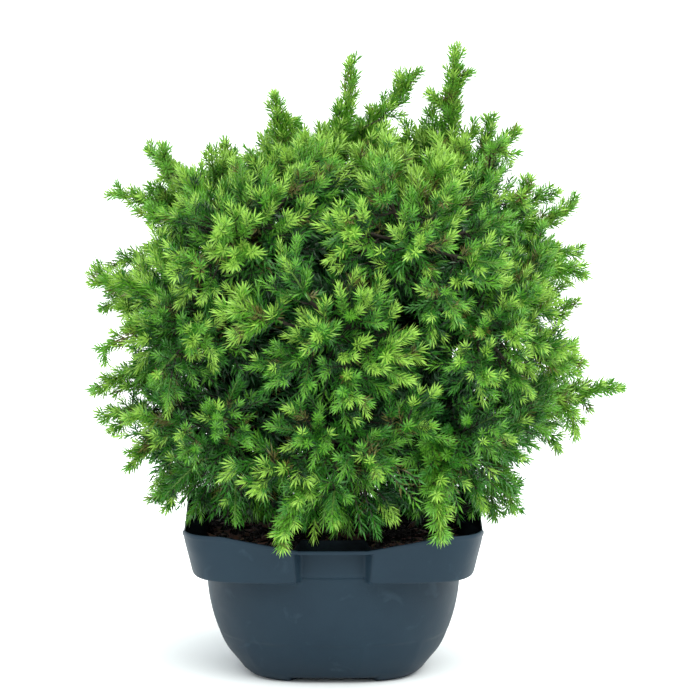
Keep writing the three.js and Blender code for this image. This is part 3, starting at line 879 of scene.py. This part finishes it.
FINER_LEADERS = {
    "tallest_knob": (112, 4, 495, 105, 4, 489),
    "beside_tallest": (76, 2, 475, 85, 3, 471),
    "beside_middle": (3, 4, 468, 5, 4, 453),
    "fork": (51, 30, 490, 56, 28, 480),
    "beside_fork": (32, 24, 462, 35, 24, 453),
    "left_of_middle_knob": (-30, -4, 456, -40, -6, 450),
    "right_shoulder_low": (147, 0, 421, 137, 0, 429),
    "right_upper": (183, 4, 395, 168, 4, 390),
    "right_upper_up": (159, 0, 406, 155, 0, 394),
    "right_over_side": (204, 6, 345, 186, 6, 344),
    "right_under_side": (199, -6, 307, 188, -5, 296),
    "right_bright": (202, -34, 262, 182, -32, 258),
    "right_reach_low": (211, 0, 219, 202, 2, 222),
    "right_lower": (188, -10, 181, 175, -9, 199),
    "right_foot_up": (153, -4, 152, 143, -4, 153),
    "right_foot_low": (135, -20, 126, 132, -20, 140),
    "left_shoulder_knob": (-139, 8, 432, -138, 10, 422),
    "left_under_high": (-147, -6, 402, -138, -6, 394),
    "left_over_side": (-184, 0, 334, -163, 0, 342),
    "left_side_fork": (-200, 26, 318, -189, 26, 316),
    "left_side_low": (-191, 4, 297, -178, 4, 306),
    "left_middle": (-189, -4, 258, -181, -4, 269),
    "left_lower": (-192, -10, 210, -175, -8, 213),
    "left_lower_drop": (-181, -12, 197, -174, -10, 207),
    "left_under": (-167, -16, 168, -159, -14, 180),
    "left_foot_low": (-135, -50, 140, -132, -48, 151),
    "tallest_foot_right": (118, 6, 451, 110, 6, 438),
    "tallest_foot_left": (80, 6, 466, 82, 6, 450),
    "under_fork": (61, 10, 451, 62, 10, 438),
    "left_under_high_low": (-158, -8, 379, -146, -8, 376),
    "left_low_in": (-178, -8, 233, -164, -8, 236),
    "right_side_low": (191, -4, 318, 178, -4, 312),
    "right_reach_in": (199, -10, 246, 184, -8, 250),
    "right_low_in": (186, -14, 211, 175, -12, 215),
    "right_foot_in": (130, -16, 128, 127, -16, 142),
    "back_upper": (20, 150, 434, 18, 140, 418),
    "back_left": (-150, 130, 300, -138, 120, 290),
    "back_left_low": (-158, 96, 222, -144, 88, 230),
    "back_right": (150, 140, 270, 138, 128, 262),
    "back_right_high": (112, 122, 398, 102, 112, 388),
    "back_foot": (24, 176, 160, 22, 164, 176),
}
print(len(LEADERS), "leaders and", len(FINER_LEADERS), "shorter ones")

# %% [markdown]
# ## The room that the crown has
# Two things bound the crown. Below, it hangs over the pot and has to stay clear of it. At its edge
# it is open to the sky in places, so the dome is dented there. The dents are told by their angle
# in the picture, and fade out before and behind the edge, so they are real hollows in the crown
# and look right from any side.

# %% The room that the crown has
CLEAR_OF_POT, BESIDE_POT = 8, 16  # mm that a tip stays over the rim, and how far round it this holds
DENTS = [  # angle, depth as a share of the way to the middle, and half the width in degrees
    (128, 0.14, 8), (119, 0.15, 6), (111, 0.12, 7), (99, 0.1, 7), (84, 0.06, 6), (72, 0.09, 6),
    (44, 0.1, 6), (34, 0.11, 6), (21, 0.06, 6), (3, 0.16, 4), (333, 0.05, 6), (318, 0.13, 8),
    (145, 0.09, 6), (157, 0.16, 6), (172, 0.1, 5), (188, 0.17, 6), (216, 0.04, 8),
]


def room_over_pot(points, more):
    """How far points stand over the rim's height, or a large number beside the pot."""
    turn = np.arctan2(points[..., 1], points[..., 0])
    x, y = np.abs(np.cos(turn)), np.abs(np.sin(turn))
    edge = RIM_HALF / (x**RIM_SQUARENESS + y**RIM_SQUARENESS) ** (1 / RIM_SQUARENESS)
    over = np.hypot(points[..., 0], points[..., 1]) < edge + more
    return np.where(over, points[..., 2] - rim_height(turn), 1e3)


def lift_off_pot(points):
    """Lifts the points that are too near the pot."""
    points[:, 2] += np.maximum(CLEAR_OF_POT - room_over_pot(points, BESIDE_POT), 0)


def open_sky(way):
    """1 where the dome is whole, and less in a dent of its edge."""
    high = way[..., 2] * math.cos(LOOKS_DOWN) + way[..., 1] * math.sin(LOOKS_DOWN)
    away = way[..., 1] * math.cos(LOOKS_DOWN) - way[..., 2] * math.sin(LOOKS_DOWN)
    angle = np.degrees(np.arctan2(high, way[..., 0]))
    deepest = np.zeros_like(angle)
    for at, share, width in DENTS:
        off = (angle - at + 180) % 360 - 180
        deepest = np.maximum(deepest, share * np.exp(-((off / width) ** 2)))
    return 1 - deepest * np.exp(-((away / 0.5) ** 2))


print("deepest dent:", max(share for _, share, _ in DENTS), "of the way to the middle")

# %% [markdown]
# ## The twigs
# A twig runs from the middle of its mass to its tip. Low ones arch over and droop, and high ones
# turn up. The CAD source spreads 146 such tips over the dome. Here the same rule goes on: many
# more tips are spread over the dome and just below it, each on a finer twig that leaves the twig
# whose own tip is nearest, and short side shoots stand round those.

# %% The twigs' tips
TIPS = 146
TIP_RISES, TIP_DEPTHS = (0.99, -0.94), (0.93, 1.04)  # first to last tip, and least to most


def main_tips():
    """Tips of the crown's twigs and leaders, in mm, the leaders' bends, and a seed for each."""
    i = np.arange(TIPS)
    way = direction(mix(*TIP_RISES, (i + 0.5) / TIPS), i * GOLDEN + 0.9)
    tips = in_crown(way, mix(*TIP_DEPTHS, chance(i, 1)) * open_sky(way))
    lift_off_pot(tips)
    places = np.array(list(LEADERS.values()), dtype=float)
    seeds = np.concatenate([i, 1000 + 10 * np.arange(len(places))])
    return np.concatenate([tips, places[:, :3]]), places[:, 3:], seeds


def nearest_mass(points):
    """The number of the mass whose middle is nearest to each point."""
    return np.argmin(np.linalg.norm(points[:, None] - mass_centres[None], axis=-1), axis=1)


tips, leader_bends, seeds = main_tips()
mass_of = nearest_mass(np.concatenate([tips[:TIPS], leader_bends]))
print(len(tips), "twigs, the furthest right", round(float(tips[:, 0].max())), "mm")

# %% [markdown]
# Every order of twig is kept as one table of arrays: where each starts, bends and ends, the mass
# that it belongs to and its seed. So a whole order grows from the one before in a single step.


# %% Tables of twigs
def twig_table(start, bend, end, mass, seed, leader, plume, order):
    """Twigs as arrays of equal length. plume is the twig of the first order that each stands on."""
    return {
        "start": start, "bend": bend, "end": end, "mass": mass, "seed": seed,
        "leader": leader, "plume": plume, "order": np.full(len(mass), order),
    }


def branching(parents, on, start, bend, end, seed, order):
    """A table of twigs that take their mass and plume from the twigs that they stand on."""
    mass, leader, plume = (parents[name][on] for name in ("mass", "leader", "plume"))
    return twig_table(start, bend, end, mass, seed, leader, plume, order)


def curve_of(twigs, which=slice(None)):
    """Where the twigs, or some of them, start, bend and end."""
    return [twigs[name][which] for name in ("start", "bend", "end")]


def length_of(twigs):
    """Each twig's length, straight from start to end."""
    return np.linalg.norm(twigs["end"] - twigs["start"], axis=-1)


def chosen(twigs, keep):
    """The twigs where keep is true."""
    return {name: column[keep] for name, column in twigs.items()}


def together(*tables):
    """Several tables as one."""
    return {name: np.concatenate([table[name] for table in tables]) for name in tables[0]}


one_twig = twig_table(*[np.zeros(1)] * 7, order=1)
print("a table's columns:", list(one_twig))

# %% [markdown]
# The first order grows from the middle of each mass to the tips. The short leaders come from the
# second table, and each starts some way back towards the middle of the nearest mass. A leader
# passes through the place that its table gives, so its bend is worked out backwards from there.

# %% The first order
LOW, HIGH = 170, 390  # heights in mm: twigs arch over and droop below, and turn up above


def how_high(points):
    """0 low in the crown, 1 high in it."""
    return np.clip((points[:, 2] - LOW) / (HIGH - LOW), 0, 1)


def bend_through(start, place, end):
    """The bend that makes a twig pass a place on its way, at an even pace."""
    before, after = (np.linalg.norm(place - p, axis=-1, keepdims=True) for p in (start, end))
    t = before / (before + after)
    return (place - (1 - t) ** 2 * start - t**2 * end) / (2 * t * (1 - t))


def first_order():
    """The twigs from each mass's middle to the tips. Leaders bend as told."""
    start = mass_centres[mass_of]
    sag = 0.1 * np.linalg.norm(tips - start, axis=-1)
    bend = mix(start, tips, 0.6)
    bend[:, 2] -= sag * mix(-1, 1, how_high(tips))
    leader = np.arange(len(tips)) >= TIPS
    bend[leader] = bend_through(start[leader], leader_bends, tips[leader])
    return twig_table(start, bend, tips, mass_of, seeds, leader, np.arange(len(tips)), 1)


twigs_1 = first_order()
leaders, plumes = (chosen(twigs_1, keep) for keep in (twigs_1["leader"], ~twigs_1["leader"]))
print(len(plumes["mass"]), "twigs that carry plumes, and", len(leaders["mass"]), "leaders")

# %% The short leaders
MOVED_AWAY = 55  # mm, at most, before or behind the crown's middle
BESIDE_THE_HIGHEST = 450  # mm up: from there on they aren't moved


def finer_leaders():
    """Short leaders. Each starts some way back towards the middle of the nearest mass. They are
    moved before and behind the crown's middle, along the camera's look, so that they don't stand
    in one row. The highest stay beside the leaders that they belong to."""
    places = np.array(list(FINER_LEADERS.values()), dtype=float)
    i = np.arange(len(places))
    away = mix(-MOVED_AWAY, MOVED_AWAY, (i * GOLDEN / (2 * np.pi)) % 1)[:, None]
    away = away * np.clip((BESIDE_THE_HIGHEST - places[:, 2:3]) / 20, 0, 1)
    away = away * np.array([0, 1, -math.tan(LOOKS_DOWN)])
    end, place = places[:, :3] + away, places[:, 3:] + away
    mass = nearest_mass(place)
    start = mix(place, mass_centres[mass], 0.4)
    bend = bend_through(start, place, end)
    return twig_table(start, bend, end, mass, 2000 + 10 * i, i >= 0, len(tips) + i, 2)


short_leaders = finer_leaders()
print(len(short_leaders["mass"]), "short leaders")

# %% [markdown]
# Finer twigs reach tips of their own, on the dome and just below it. A twig that would end outside
# the crown, or come down on the pot, is left out. Low in the crown more are left out, because the
# real crown is thin there.

# %% Where a twig may end
HIGHEST_TIP = 524
THIN_FROM, THINNEST_AT, MOST_LEFT_OUT = 188, 152, 0.6  # two heights in mm, and a share of the twigs


def clear_ends(twigs):
    """Whether each twig ends inside the crown's reach and clear of the pot."""
    end = twigs["end"]
    dome = 1.05 * open_sky(unit(end - CROWN_CENTRE))
    inside = depth_in(end) < np.where(twigs["leader"], 1.5, dome)
    low = np.clip((THIN_FROM - end[:, 2]) / (THIN_FROM - THINNEST_AT), 0, 1)
    left_out = (chance(twigs["seed"], 19) < MOST_LEFT_OUT * low) & ~twigs["leader"]
    inside = inside & ~left_out & (end[:, 2] < HIGHEST_TIP)
    return inside & (room_over_pot(end, 8) > 5) & (depth_in(end) > BOUGH_END)


print("no twig ends over", HIGHEST_TIP, "mm")

# %% Finer twigs with their own tips
PLUME_HALF = 34  # mm from a plume's own tip to its edge


def reaching_twigs(parents, count, depths, hollow, order):
    """Twigs that reach tips spread over the crown between two depths. Each leaves the twig whose
    own tip is nearest, so that every such twig becomes a plume. hollow is how much nearer the
    crown's middle the tips at a plume's edge are."""
    i = np.arange(count)
    way = direction(mix(*TIP_RISES, (i + 0.5) / count), i * GOLDEN + order)
    depth = mix(*depths, chance(i, 40 + order)) * open_sky(way)
    apart = np.linalg.norm(in_crown(way, 1 + 0 * depth)[:, None] - parents["end"][None], axis=-1)
    on = np.argmin(apart, axis=1)
    apart = apart[i, on]
    end = in_crown(way, depth - hollow * np.clip(apart / PLUME_HALF, 0, 1.2) ** 2)
    lift_off_pot(end)
    t = np.clip(1 - (apart + mix(10, 30, chance(i, 43))) / length_of(parents)[on], 0.1, 0.9)
    start = along_curve(*curve_of(parents, on), t)
    side, up = frames(way)
    turn = (chance(i, 41 + order) * 2 * np.pi)[:, None]
    aside = (side * np.cos(turn) + up * np.sin(turn)) * mix(0, 11, chance(i, 42 + order))[:, None]
    rising = mix(-9, 8, how_high(end))[:, None]
    bend = mix(start, end, 0.55) + aside - rising * np.array([0, 0, 1])
    twigs = branching(parents, on, start, bend, end, i * 1.3 + order * 57, order)
    return chosen(twigs, clear_ends(twigs))


twigs_2 = reaching_twigs(plumes, count=920, depths=(0.88, 1.02), hollow=0.05, order=2)
twigs_3 = reaching_twigs(plumes, count=700, depths=(0.74, 0.88), hollow=0.02, order=3)
print(len(twigs_2["mass"]), "twigs reach the dome, and", len(twigs_3["mass"]), "stay below it")

# %% [markdown]
# Side shoots stand along the twigs at nearly even distances, each turned on from the last by the
# golden angle. One that would end outside the crown or on the pot is tried again at less than two
# thirds of its length, and left out if that isn't enough.


# %% Side shoots
def counted_out(count):
    """For so many things on each twig: the twig that each is on, and its number there."""
    on = np.repeat(np.arange(len(count)), count)
    return on, np.arange(len(on)) - np.repeat(np.cumsum(count) - count, count)


def side_twigs(parents, spacing, first, last, length, lean, lift, order):
    """Side twigs along parents: one every spacing mm between two shares of the parent's length.
    length gives the lowest and the top one's, and lean is how far each points forwards."""
    room = length_of(parents) * (last - first)
    count = np.maximum(np.round(room / spacing).astype(int), 1)
    on, number = counted_out(count)
    seed = parents["seed"][on] * 1.7 + number * 3.1 + order * 101
    share = (number + 0.5 + mix(-0.3, 0.3, chance(seed, 2))) / count[on]
    curve, t = curve_of(parents, on), mix(first, last, share)
    start, ahead = along_curve(*curve, t), curve_way(*curve, t)
    side, up = frames(ahead)
    turn = ((number + chance(parents["seed"][on], 5)) * GOLDEN)[:, None]
    out = side * np.cos(turn) + up * np.sin(turn)
    way = unit(ahead * lean + out * math.sqrt(1 - lean**2) + np.array([0, 0, lift]))
    reach = (mix(length[0], length[1], share) * mix(0.78, 1.15, chance(seed, 7)))[:, None]
    tries = []
    for shorter in (1.0, 0.62):
        end = start + unit(way + ahead * 0.3 + np.array([0, 0, 0.14])) * reach * shorter
        bend = start + way * reach * shorter * 0.55
        tries.append(branching(parents, on, start, bend, end, seed, order))
    whole, short = tries
    fits, fits_short = clear_ends(whole), clear_ends(short)
    for name in ("bend", "end"):
        short[name] = np.where(fits[:, None], whole[name], short[name])
    return chosen(short, fits | fits_short)


SIDE_TWIGS = [  # parents, spacing, first, last, length, lean and lift
    (plumes, 12.0, 0.5, 0.9, (17, 11), 0.66, 0.1),
    (leaders, 3.8, 0.25, 0.96, (18, 9), 0.7, 0.1),
    (short_leaders, 4.4, 0.15, 0.92, (15, 8), 0.7, 0.1),
    (twigs_2, 22.0, 0.45, 0.84, (15, 11), 0.66, 0.05),
]
twigs_4 = together(*[side_twigs(*row, order=4) for row in SIDE_TWIGS])
print(len(twigs_4["mass"]), "side shoots")

# %% [markdown]
# Last come plain twigs inside the crown. Without them one could look between the plumes and out at
# the other side. The real shrub closes that view with older twigs that have grown in the shade.


# %% Inner twigs, and all the twigs together
def inner_twigs(count):
    """Twigs in the shade that fill the crown round its limbs and close the view through it. Low
    down they reach nearly to the dome, where the outer twigs are thin."""
    i = np.arange(count)
    way = direction(mix(0.97, -0.97, ((i + 0.5) / count) ** 0.85), i * GOLDEN)
    outermost = mix(0.8, 0.98, np.clip((-0.4 - way[:, 2]) / 0.2, 0, 1))
    end = in_crown(way, mix(0.15, outermost, np.sqrt(chance(i, 9))))
    lift_off_pot(end)
    mass = nearest_mass(end)
    start = mix(bough_ends[mass], mass_centres[mass], mix(0.4, 1, chance(i, 10))[:, None])
    bend = (start + end) / 2 + np.array([0, 0, 4.0])
    return twig_table(start, bend, end, mass, i, i < 0, 0 * i - 1, 5)


twigs_2 = together(twigs_2, short_leaders)
twigs_5 = inner_twigs(count=2600)
all_twigs = together(twigs_1, twigs_2, twigs_3, twigs_4, twigs_5)
print("twigs of each order:", np.bincount(all_twigs["order"])[1:])

# %% [markdown]
# ## Wood and stems
# Each twig is a thin tapering tube. The twigs that carry plumes are woody and brown at their foot
# and still green towards the tip. Side shoots are green all along, and twigs in the shade are brown.
# All tubes of one order have equally many rings, so one array holds them.


# %% Tubes along all twigs of an order
def tubes(twigs, rings, sides, thick, thin):
    """Points and triangles of closed tubes along all the twigs, and how far along its twig each
    triangle is. thick is the radius at the foot, and thin the one at the tip."""
    t = np.linspace(0, 1, rings)[None, :] * np.ones((len(twigs["mass"]), 1))
    curve = curve_of(twigs, np.s_[:, None])
    line, ways = along_curve(*curve, t), curve_way(*curve, t)
    side, up = frames(ways)
    turn = np.linspace(0, 2 * np.pi, sides, endpoint=False)
    spokes = side[:, :, None] * np.cos(turn)[:, None] + up[:, :, None] * np.sin(turn)[:, None]
    points = line[:, :, None] + spokes * mix(thick, thin, t)[..., None, None]
    i = (np.arange(rings - 1) * sides)[:, None]
    j = np.arange(sides)[None, :]
    after = (j + 1) % sides
    lower = np.stack([i + j, i + after, i + sides + after], axis=-1).reshape(-1, 3)
    upper = np.stack([i + j, i + sides + after, i + sides + j], axis=-1).reshape(-1, 3)
    fan = np.array([(0, k + 1, k) for k in range(1, sides - 1)])
    one = np.concatenate([lower, upper, fan, fan[:, ::-1] + (rings - 1) * sides])
    faces = (np.arange(len(t)) * rings * sides)[:, None, None] + one[None]
    along = np.tile(one.min(axis=1) // sides / (rings - 1), len(t))
    return points.reshape(-1, 3), faces.reshape(-1, 3), along


stems = [
    tubes(twigs_1, rings=7, sides=6, thick=1.9, thin=0.6),
    tubes(twigs_2, rings=5, sides=4, thick=0.9, thin=0.45),
    tubes(twigs_3, rings=4, sides=3, thick=0.85, thin=0.4),
    tubes(twigs_4, rings=3, sides=3, thick=0.6, thin=0.35),
    tubes(twigs_5, rings=3, sides=3, thick=1.0, thin=0.4),
]
print("stems:", [len(faces) for _, faces, _ in stems], "triangles in each order")

# %% Build the twigs
twig_wood = mottled_finish("twig_wood", (44, 36, 23), (26, 21, 15), grain=260.0, roughness=0.8)
green_stem = mottled_finish("green_stem", (96, 136, 50), (66, 100, 38), grain=200.0, roughness=0.6)
GREEN_FROM = (0.4, 0.3, 0.7, 0.0, 1.0)  # the share of each order's length where it turns green
green = np.concatenate([along > wood for (_, _, along), wood in zip(stems, GREEN_FROM)])
twig_points, twig_faces = joined([stem[:2] for stem in stems])
twigs = piece_from_arrays("twigs", twig_points, twig_faces, [twig_wood, green_stem], green.astype(int))
print("twigs:", triangles_in(twigs), "triangles")

# %% [markdown]
# ## The needles
# The needles stand all round each shoot on a spiral. They are awl-shaped, seven to ten millimetres
# long and about one and a half wide, spread at the foot of a shoot and gathered towards its tip,
# where they make the small green stars that cover the crown. Each needle is a slim closed body of
# four triangles. Its two side corners are less than half of the way up and lie on the side that
# faces back along the shoot. The edge from its root to its tip stands proud of them on the other
# side, as the keel of the real needle does. Needles in the shade are longer and wider the deeper
# they stand, because they only have to close the view into the crown.

# %% Where the needles stand
NEEDLES_PER_MM, NEEDLES_AT_TIP = {1: 1.8, 2: 1.6, 3: 1.35, 4: 1.7, 5: 0.45}, 9
LEAFY_LENGTH = {1: 44, 2: 34, 3: 30, 4: 24, 5: 28}  # in mm, back from the tip, for each order
LEADER_PER_MM, LEADER_LEAFY = 3.0, 130


def needle_places(twigs):
    """Which twig each needle stands on, its number there, its share of the way along the leafy
    part, and the share of the twig that is bare."""
    length = length_of(twigs)
    long_leader = twigs["leader"] & (twigs["order"] == 1)
    leafy = np.vectorize(LEAFY_LENGTH.get)(twigs["order"])
    bare = np.maximum(1 - np.where(long_leader, LEADER_LEAFY, leafy) / length, 0.05)
    per_mm = np.where(long_leader, LEADER_PER_MM, np.vectorize(NEEDLES_PER_MM.get)(twigs["order"]))
    count = np.round(length * (1 - bare) * per_mm).astype(int) + NEEDLES_AT_TIP
    on, number = counted_out(count)
    return on, number, (number + 0.5) / count[on], bare[on]


print(len(needle_places(all_twigs)[0]), "needles")

# %% How large the needles are
NEEDLE_LENGTH, NEEDLE_SLIMNESS = 8.2, 0.094  # the second is its half width as a share of its length
SHADE_WIDER, SHADE_LONGER = (1.25, 1.9), (1.4, 2.6)  # just inside the crown, and at its middle


def vigour(twigs):
    """How strongly each plume grows, 0 to 1. Leaders and inner twigs grow weakly."""
    strong = np.where(twigs["leader"], 0.4, chance(twigs["plume"], 17) ** 2)
    return np.where(twigs["order"] == 5, 0.0, strong)


def needle_sizes(twigs, on, share):
    """Each needle's length and half its width, in mm."""
    i = np.arange(len(on))
    size = NEEDLE_LENGTH * mix(0.72, 1, np.clip(share / 0.25, 0, 1)) * mix(1, 0.78, share**4)
    size = size * mix(0.84, 1.1, chance(i, 8)) * mix(0.88, 1.2, vigour(twigs)[on])
    size = size * np.where(twigs["leader"], 1.08, 1.0)[on]
    shaded = (twigs["order"] == 5)[on]
    deep = np.clip(1 - depth_in(twigs["end"]) / 0.8, 0, 1)[on]
    size = (size * np.where(shaded, mix(*SHADE_LONGER, deep), 1.0))[:, None]
    half = size * mix(0.85, 1.1, chance(i, 10))[:, None] * NEEDLE_SLIMNESS
    return size, half * np.where(shaded, mix(*SHADE_WIDER, deep), 1.0)[:, None]


print("a needle is about", round(2 * NEEDLE_LENGTH * NEEDLE_SLIMNESS, 1), "mm wide")

# %% Place the needles
SPREAD_AT_FOOT, SPREAD_AT_TIP = 62, 48  # degrees from the shoot
GATHERED, LEADER_GATHERED = 26, 4  # degrees less at the very tip
CORNERS_AT, KEEL, TIP_AHEAD = 0.42, 0.6, 0.24  # shares of a needle's length, half width and length


def needle_corners(twigs):
    """Four corners of every needle, with its twig and its share along the leafy part."""
    on, number, share, bare = needle_places(twigs)
    i = np.arange(len(on))
    curve, t = curve_of(twigs, on), bare + (1 - bare) * share
    root, ahead = along_curve(*curve, t), curve_way(*curve, t)
    side, up = frames(ahead)
    turn = (number * GOLDEN + chance(twigs["seed"][on], 3) * 6.28 + 0.35 * chance(i, 4))[:, None]
    out = side * np.cos(turn) + up * np.sin(turn)
    gathered = np.where(twigs["leader"], LEADER_GATHERED, GATHERED)[on]
    spread = mix(SPREAD_AT_FOOT, SPREAD_AT_TIP, share) - gathered * np.clip((share - 0.84) / 0.16, 0, 1)
    spread = np.radians(spread + mix(-9, 9, chance(i, 6)))[:, None]
    way = ahead * np.cos(spread) + out * np.sin(spread)
    size, half = needle_sizes(twigs, on, share)
    tip = root + way * size + ahead * size * TIP_AHEAD
    flat = unit(np.cross(way, out))
    back = mix(root, tip, CORNERS_AT) + np.cross(flat, way) * half * KEEL
    return np.stack([root, back - flat * half, back + flat * half, tip], axis=1), on, share


corners, needle_twig, needle_share = needle_corners(all_twigs)
print("the lowest needle is", round(float(corners[..., 2].min())), "mm up")

# %% [markdown]
# ## Five greens
# New growth is a light yellow green and older needles are deeper. Shade is painted in as well:
# shoots deep in the crown are dealt the darkest tone, and high ones lighter tones. Some shoots keep
# a bronze tint at their foot. The tones aren't painted over the crown by a pattern: each shoot is
# dealt one for its foot and one for its tip, by how near the outside and how high it stands, how
# strongly its plume grows, and chance. Low shoots stand in the shade of the ones above, so more of
# them are dealt a deep one, as painted shade. Each tone is a material of its own.


# %% The needles' materials
def needle_finish(name, light, dark):
    """A needle's material: two near tones and a soft waxy gloss."""
    return mottled_finish(name, light, dark, grain=320.0, contrast=2.2, roughness=0.4, gloss=0.45)


TONES = [
    needle_finish("needles_deep", (22, 76, 26), (11, 48, 16)),
    needle_finish("needles_green", (54, 121, 27), (36, 96, 22)),
    needle_finish("needles_fresh", (100, 160, 42), (70, 130, 34)),
    needle_finish("needles_new", (149, 190, 74), (114, 162, 52)),
    needle_finish("needles_bronze", (112, 106, 50), (82, 88, 38)),
]
DEEP, GREEN, FRESH, NEW, BRONZE = range(5)
print([tone.name for tone in TONES])


# %% Deal the tones
def dealt_tones(twigs, on, share):
    """The tone of each needle."""
    seed, end = twigs["seed"], twigs["end"]
    # Painted shade: tones go deeper the further in and the lower a shoot stands, and lighter the higher.
    outer = depth_in(end) + 0.1 * (end[:, 2] - CROWN_CENTRE[2]) / CROWN_UP
    outer = outer - 0.2 * np.clip((190 - end[:, 2]) / 40, 0, 1) * chance(seed, 18)
    luck = 0.5 * chance(seed, 13) + 0.5 * vigour(twigs) + 0.1
    foot = np.where((outer < 0.72) | (chance(seed, 16) < 0.22), DEEP, GREEN)
    foot = np.where(((outer > 0.92) & (luck > 0.6)) | twigs["leader"], FRESH, foot)
    tip = np.select([outer < 0.68, outer < 0.86], [foot, np.where(luck > 0.55, FRESH, GREEN)], FRESH)
    tip = np.where((outer > 0.84) & (luck > 0.48), NEW, tip)
    bronze = (chance(seed, 15) > 0.85)[on] & (share < 0.42)
    return np.where(bronze, BRONZE, np.where(share > 0.6, tip[on], foot[on]))


tones = dealt_tones(all_twigs, needle_twig, needle_share)
print("needles of each tone:", np.bincount(tones))

# %% [markdown]
# ## Joining the needles
# One mesh with every needle would be heavy to handle, so the masses are joined a few at a time,
# as many as stay under the limit. Each of these pieces stands for the CAD masses that it covers.

# %% Join the needles mass by mass
NEEDLE_FACES = np.array([(0, 1, 3), (0, 3, 2), (0, 2, 1), (1, 2, 3)])
MOST_TRIANGLES = 190000  # in one piece
MOST_NEEDLES = MOST_TRIANGLES // len(NEEDLE_FACES)


def needle_piece(name, masses):
    """One piece with all the needles of some masses."""
    mine = np.isin(all_twigs["mass"][needle_twig], masses)
    points = corners[mine].reshape(-1, 3)
    faces = (np.arange(mine.sum())[:, None, None] * 4 + NEEDLE_FACES[None]).reshape(-1, 3)
    dealt = np.repeat(tones[mine], len(NEEDLE_FACES))
    piece = piece_from_arrays(name, points, faces, TONES, dealt, smooth=False)
    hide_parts(*[f"foliage_{mass + 1:02d}" for mass in masses])
    print(name, "masses", [mass + 1 for mass in masses], triangles_in(piece), "triangles")


per_mass = np.bincount(all_twigs["mass"][needle_twig], minlength=len(mass_ways))
groups, current = [], []
for mass in range(len(mass_ways)):
    if current and per_mass[current].sum() + per_mass[mass] > MOST_NEEDLES:
        groups.append(current)
        current = []
    current.append(mass)
groups.append(current)
for number, masses in enumerate(groups):
    needle_piece(f"needles_{number + 1}", masses)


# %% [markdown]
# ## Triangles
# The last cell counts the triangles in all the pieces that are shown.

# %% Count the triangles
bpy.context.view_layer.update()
shown = [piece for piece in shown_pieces() if piece.type == "MESH"]
print("triangles in all:", sum(triangles_in(piece) for piece in shown))
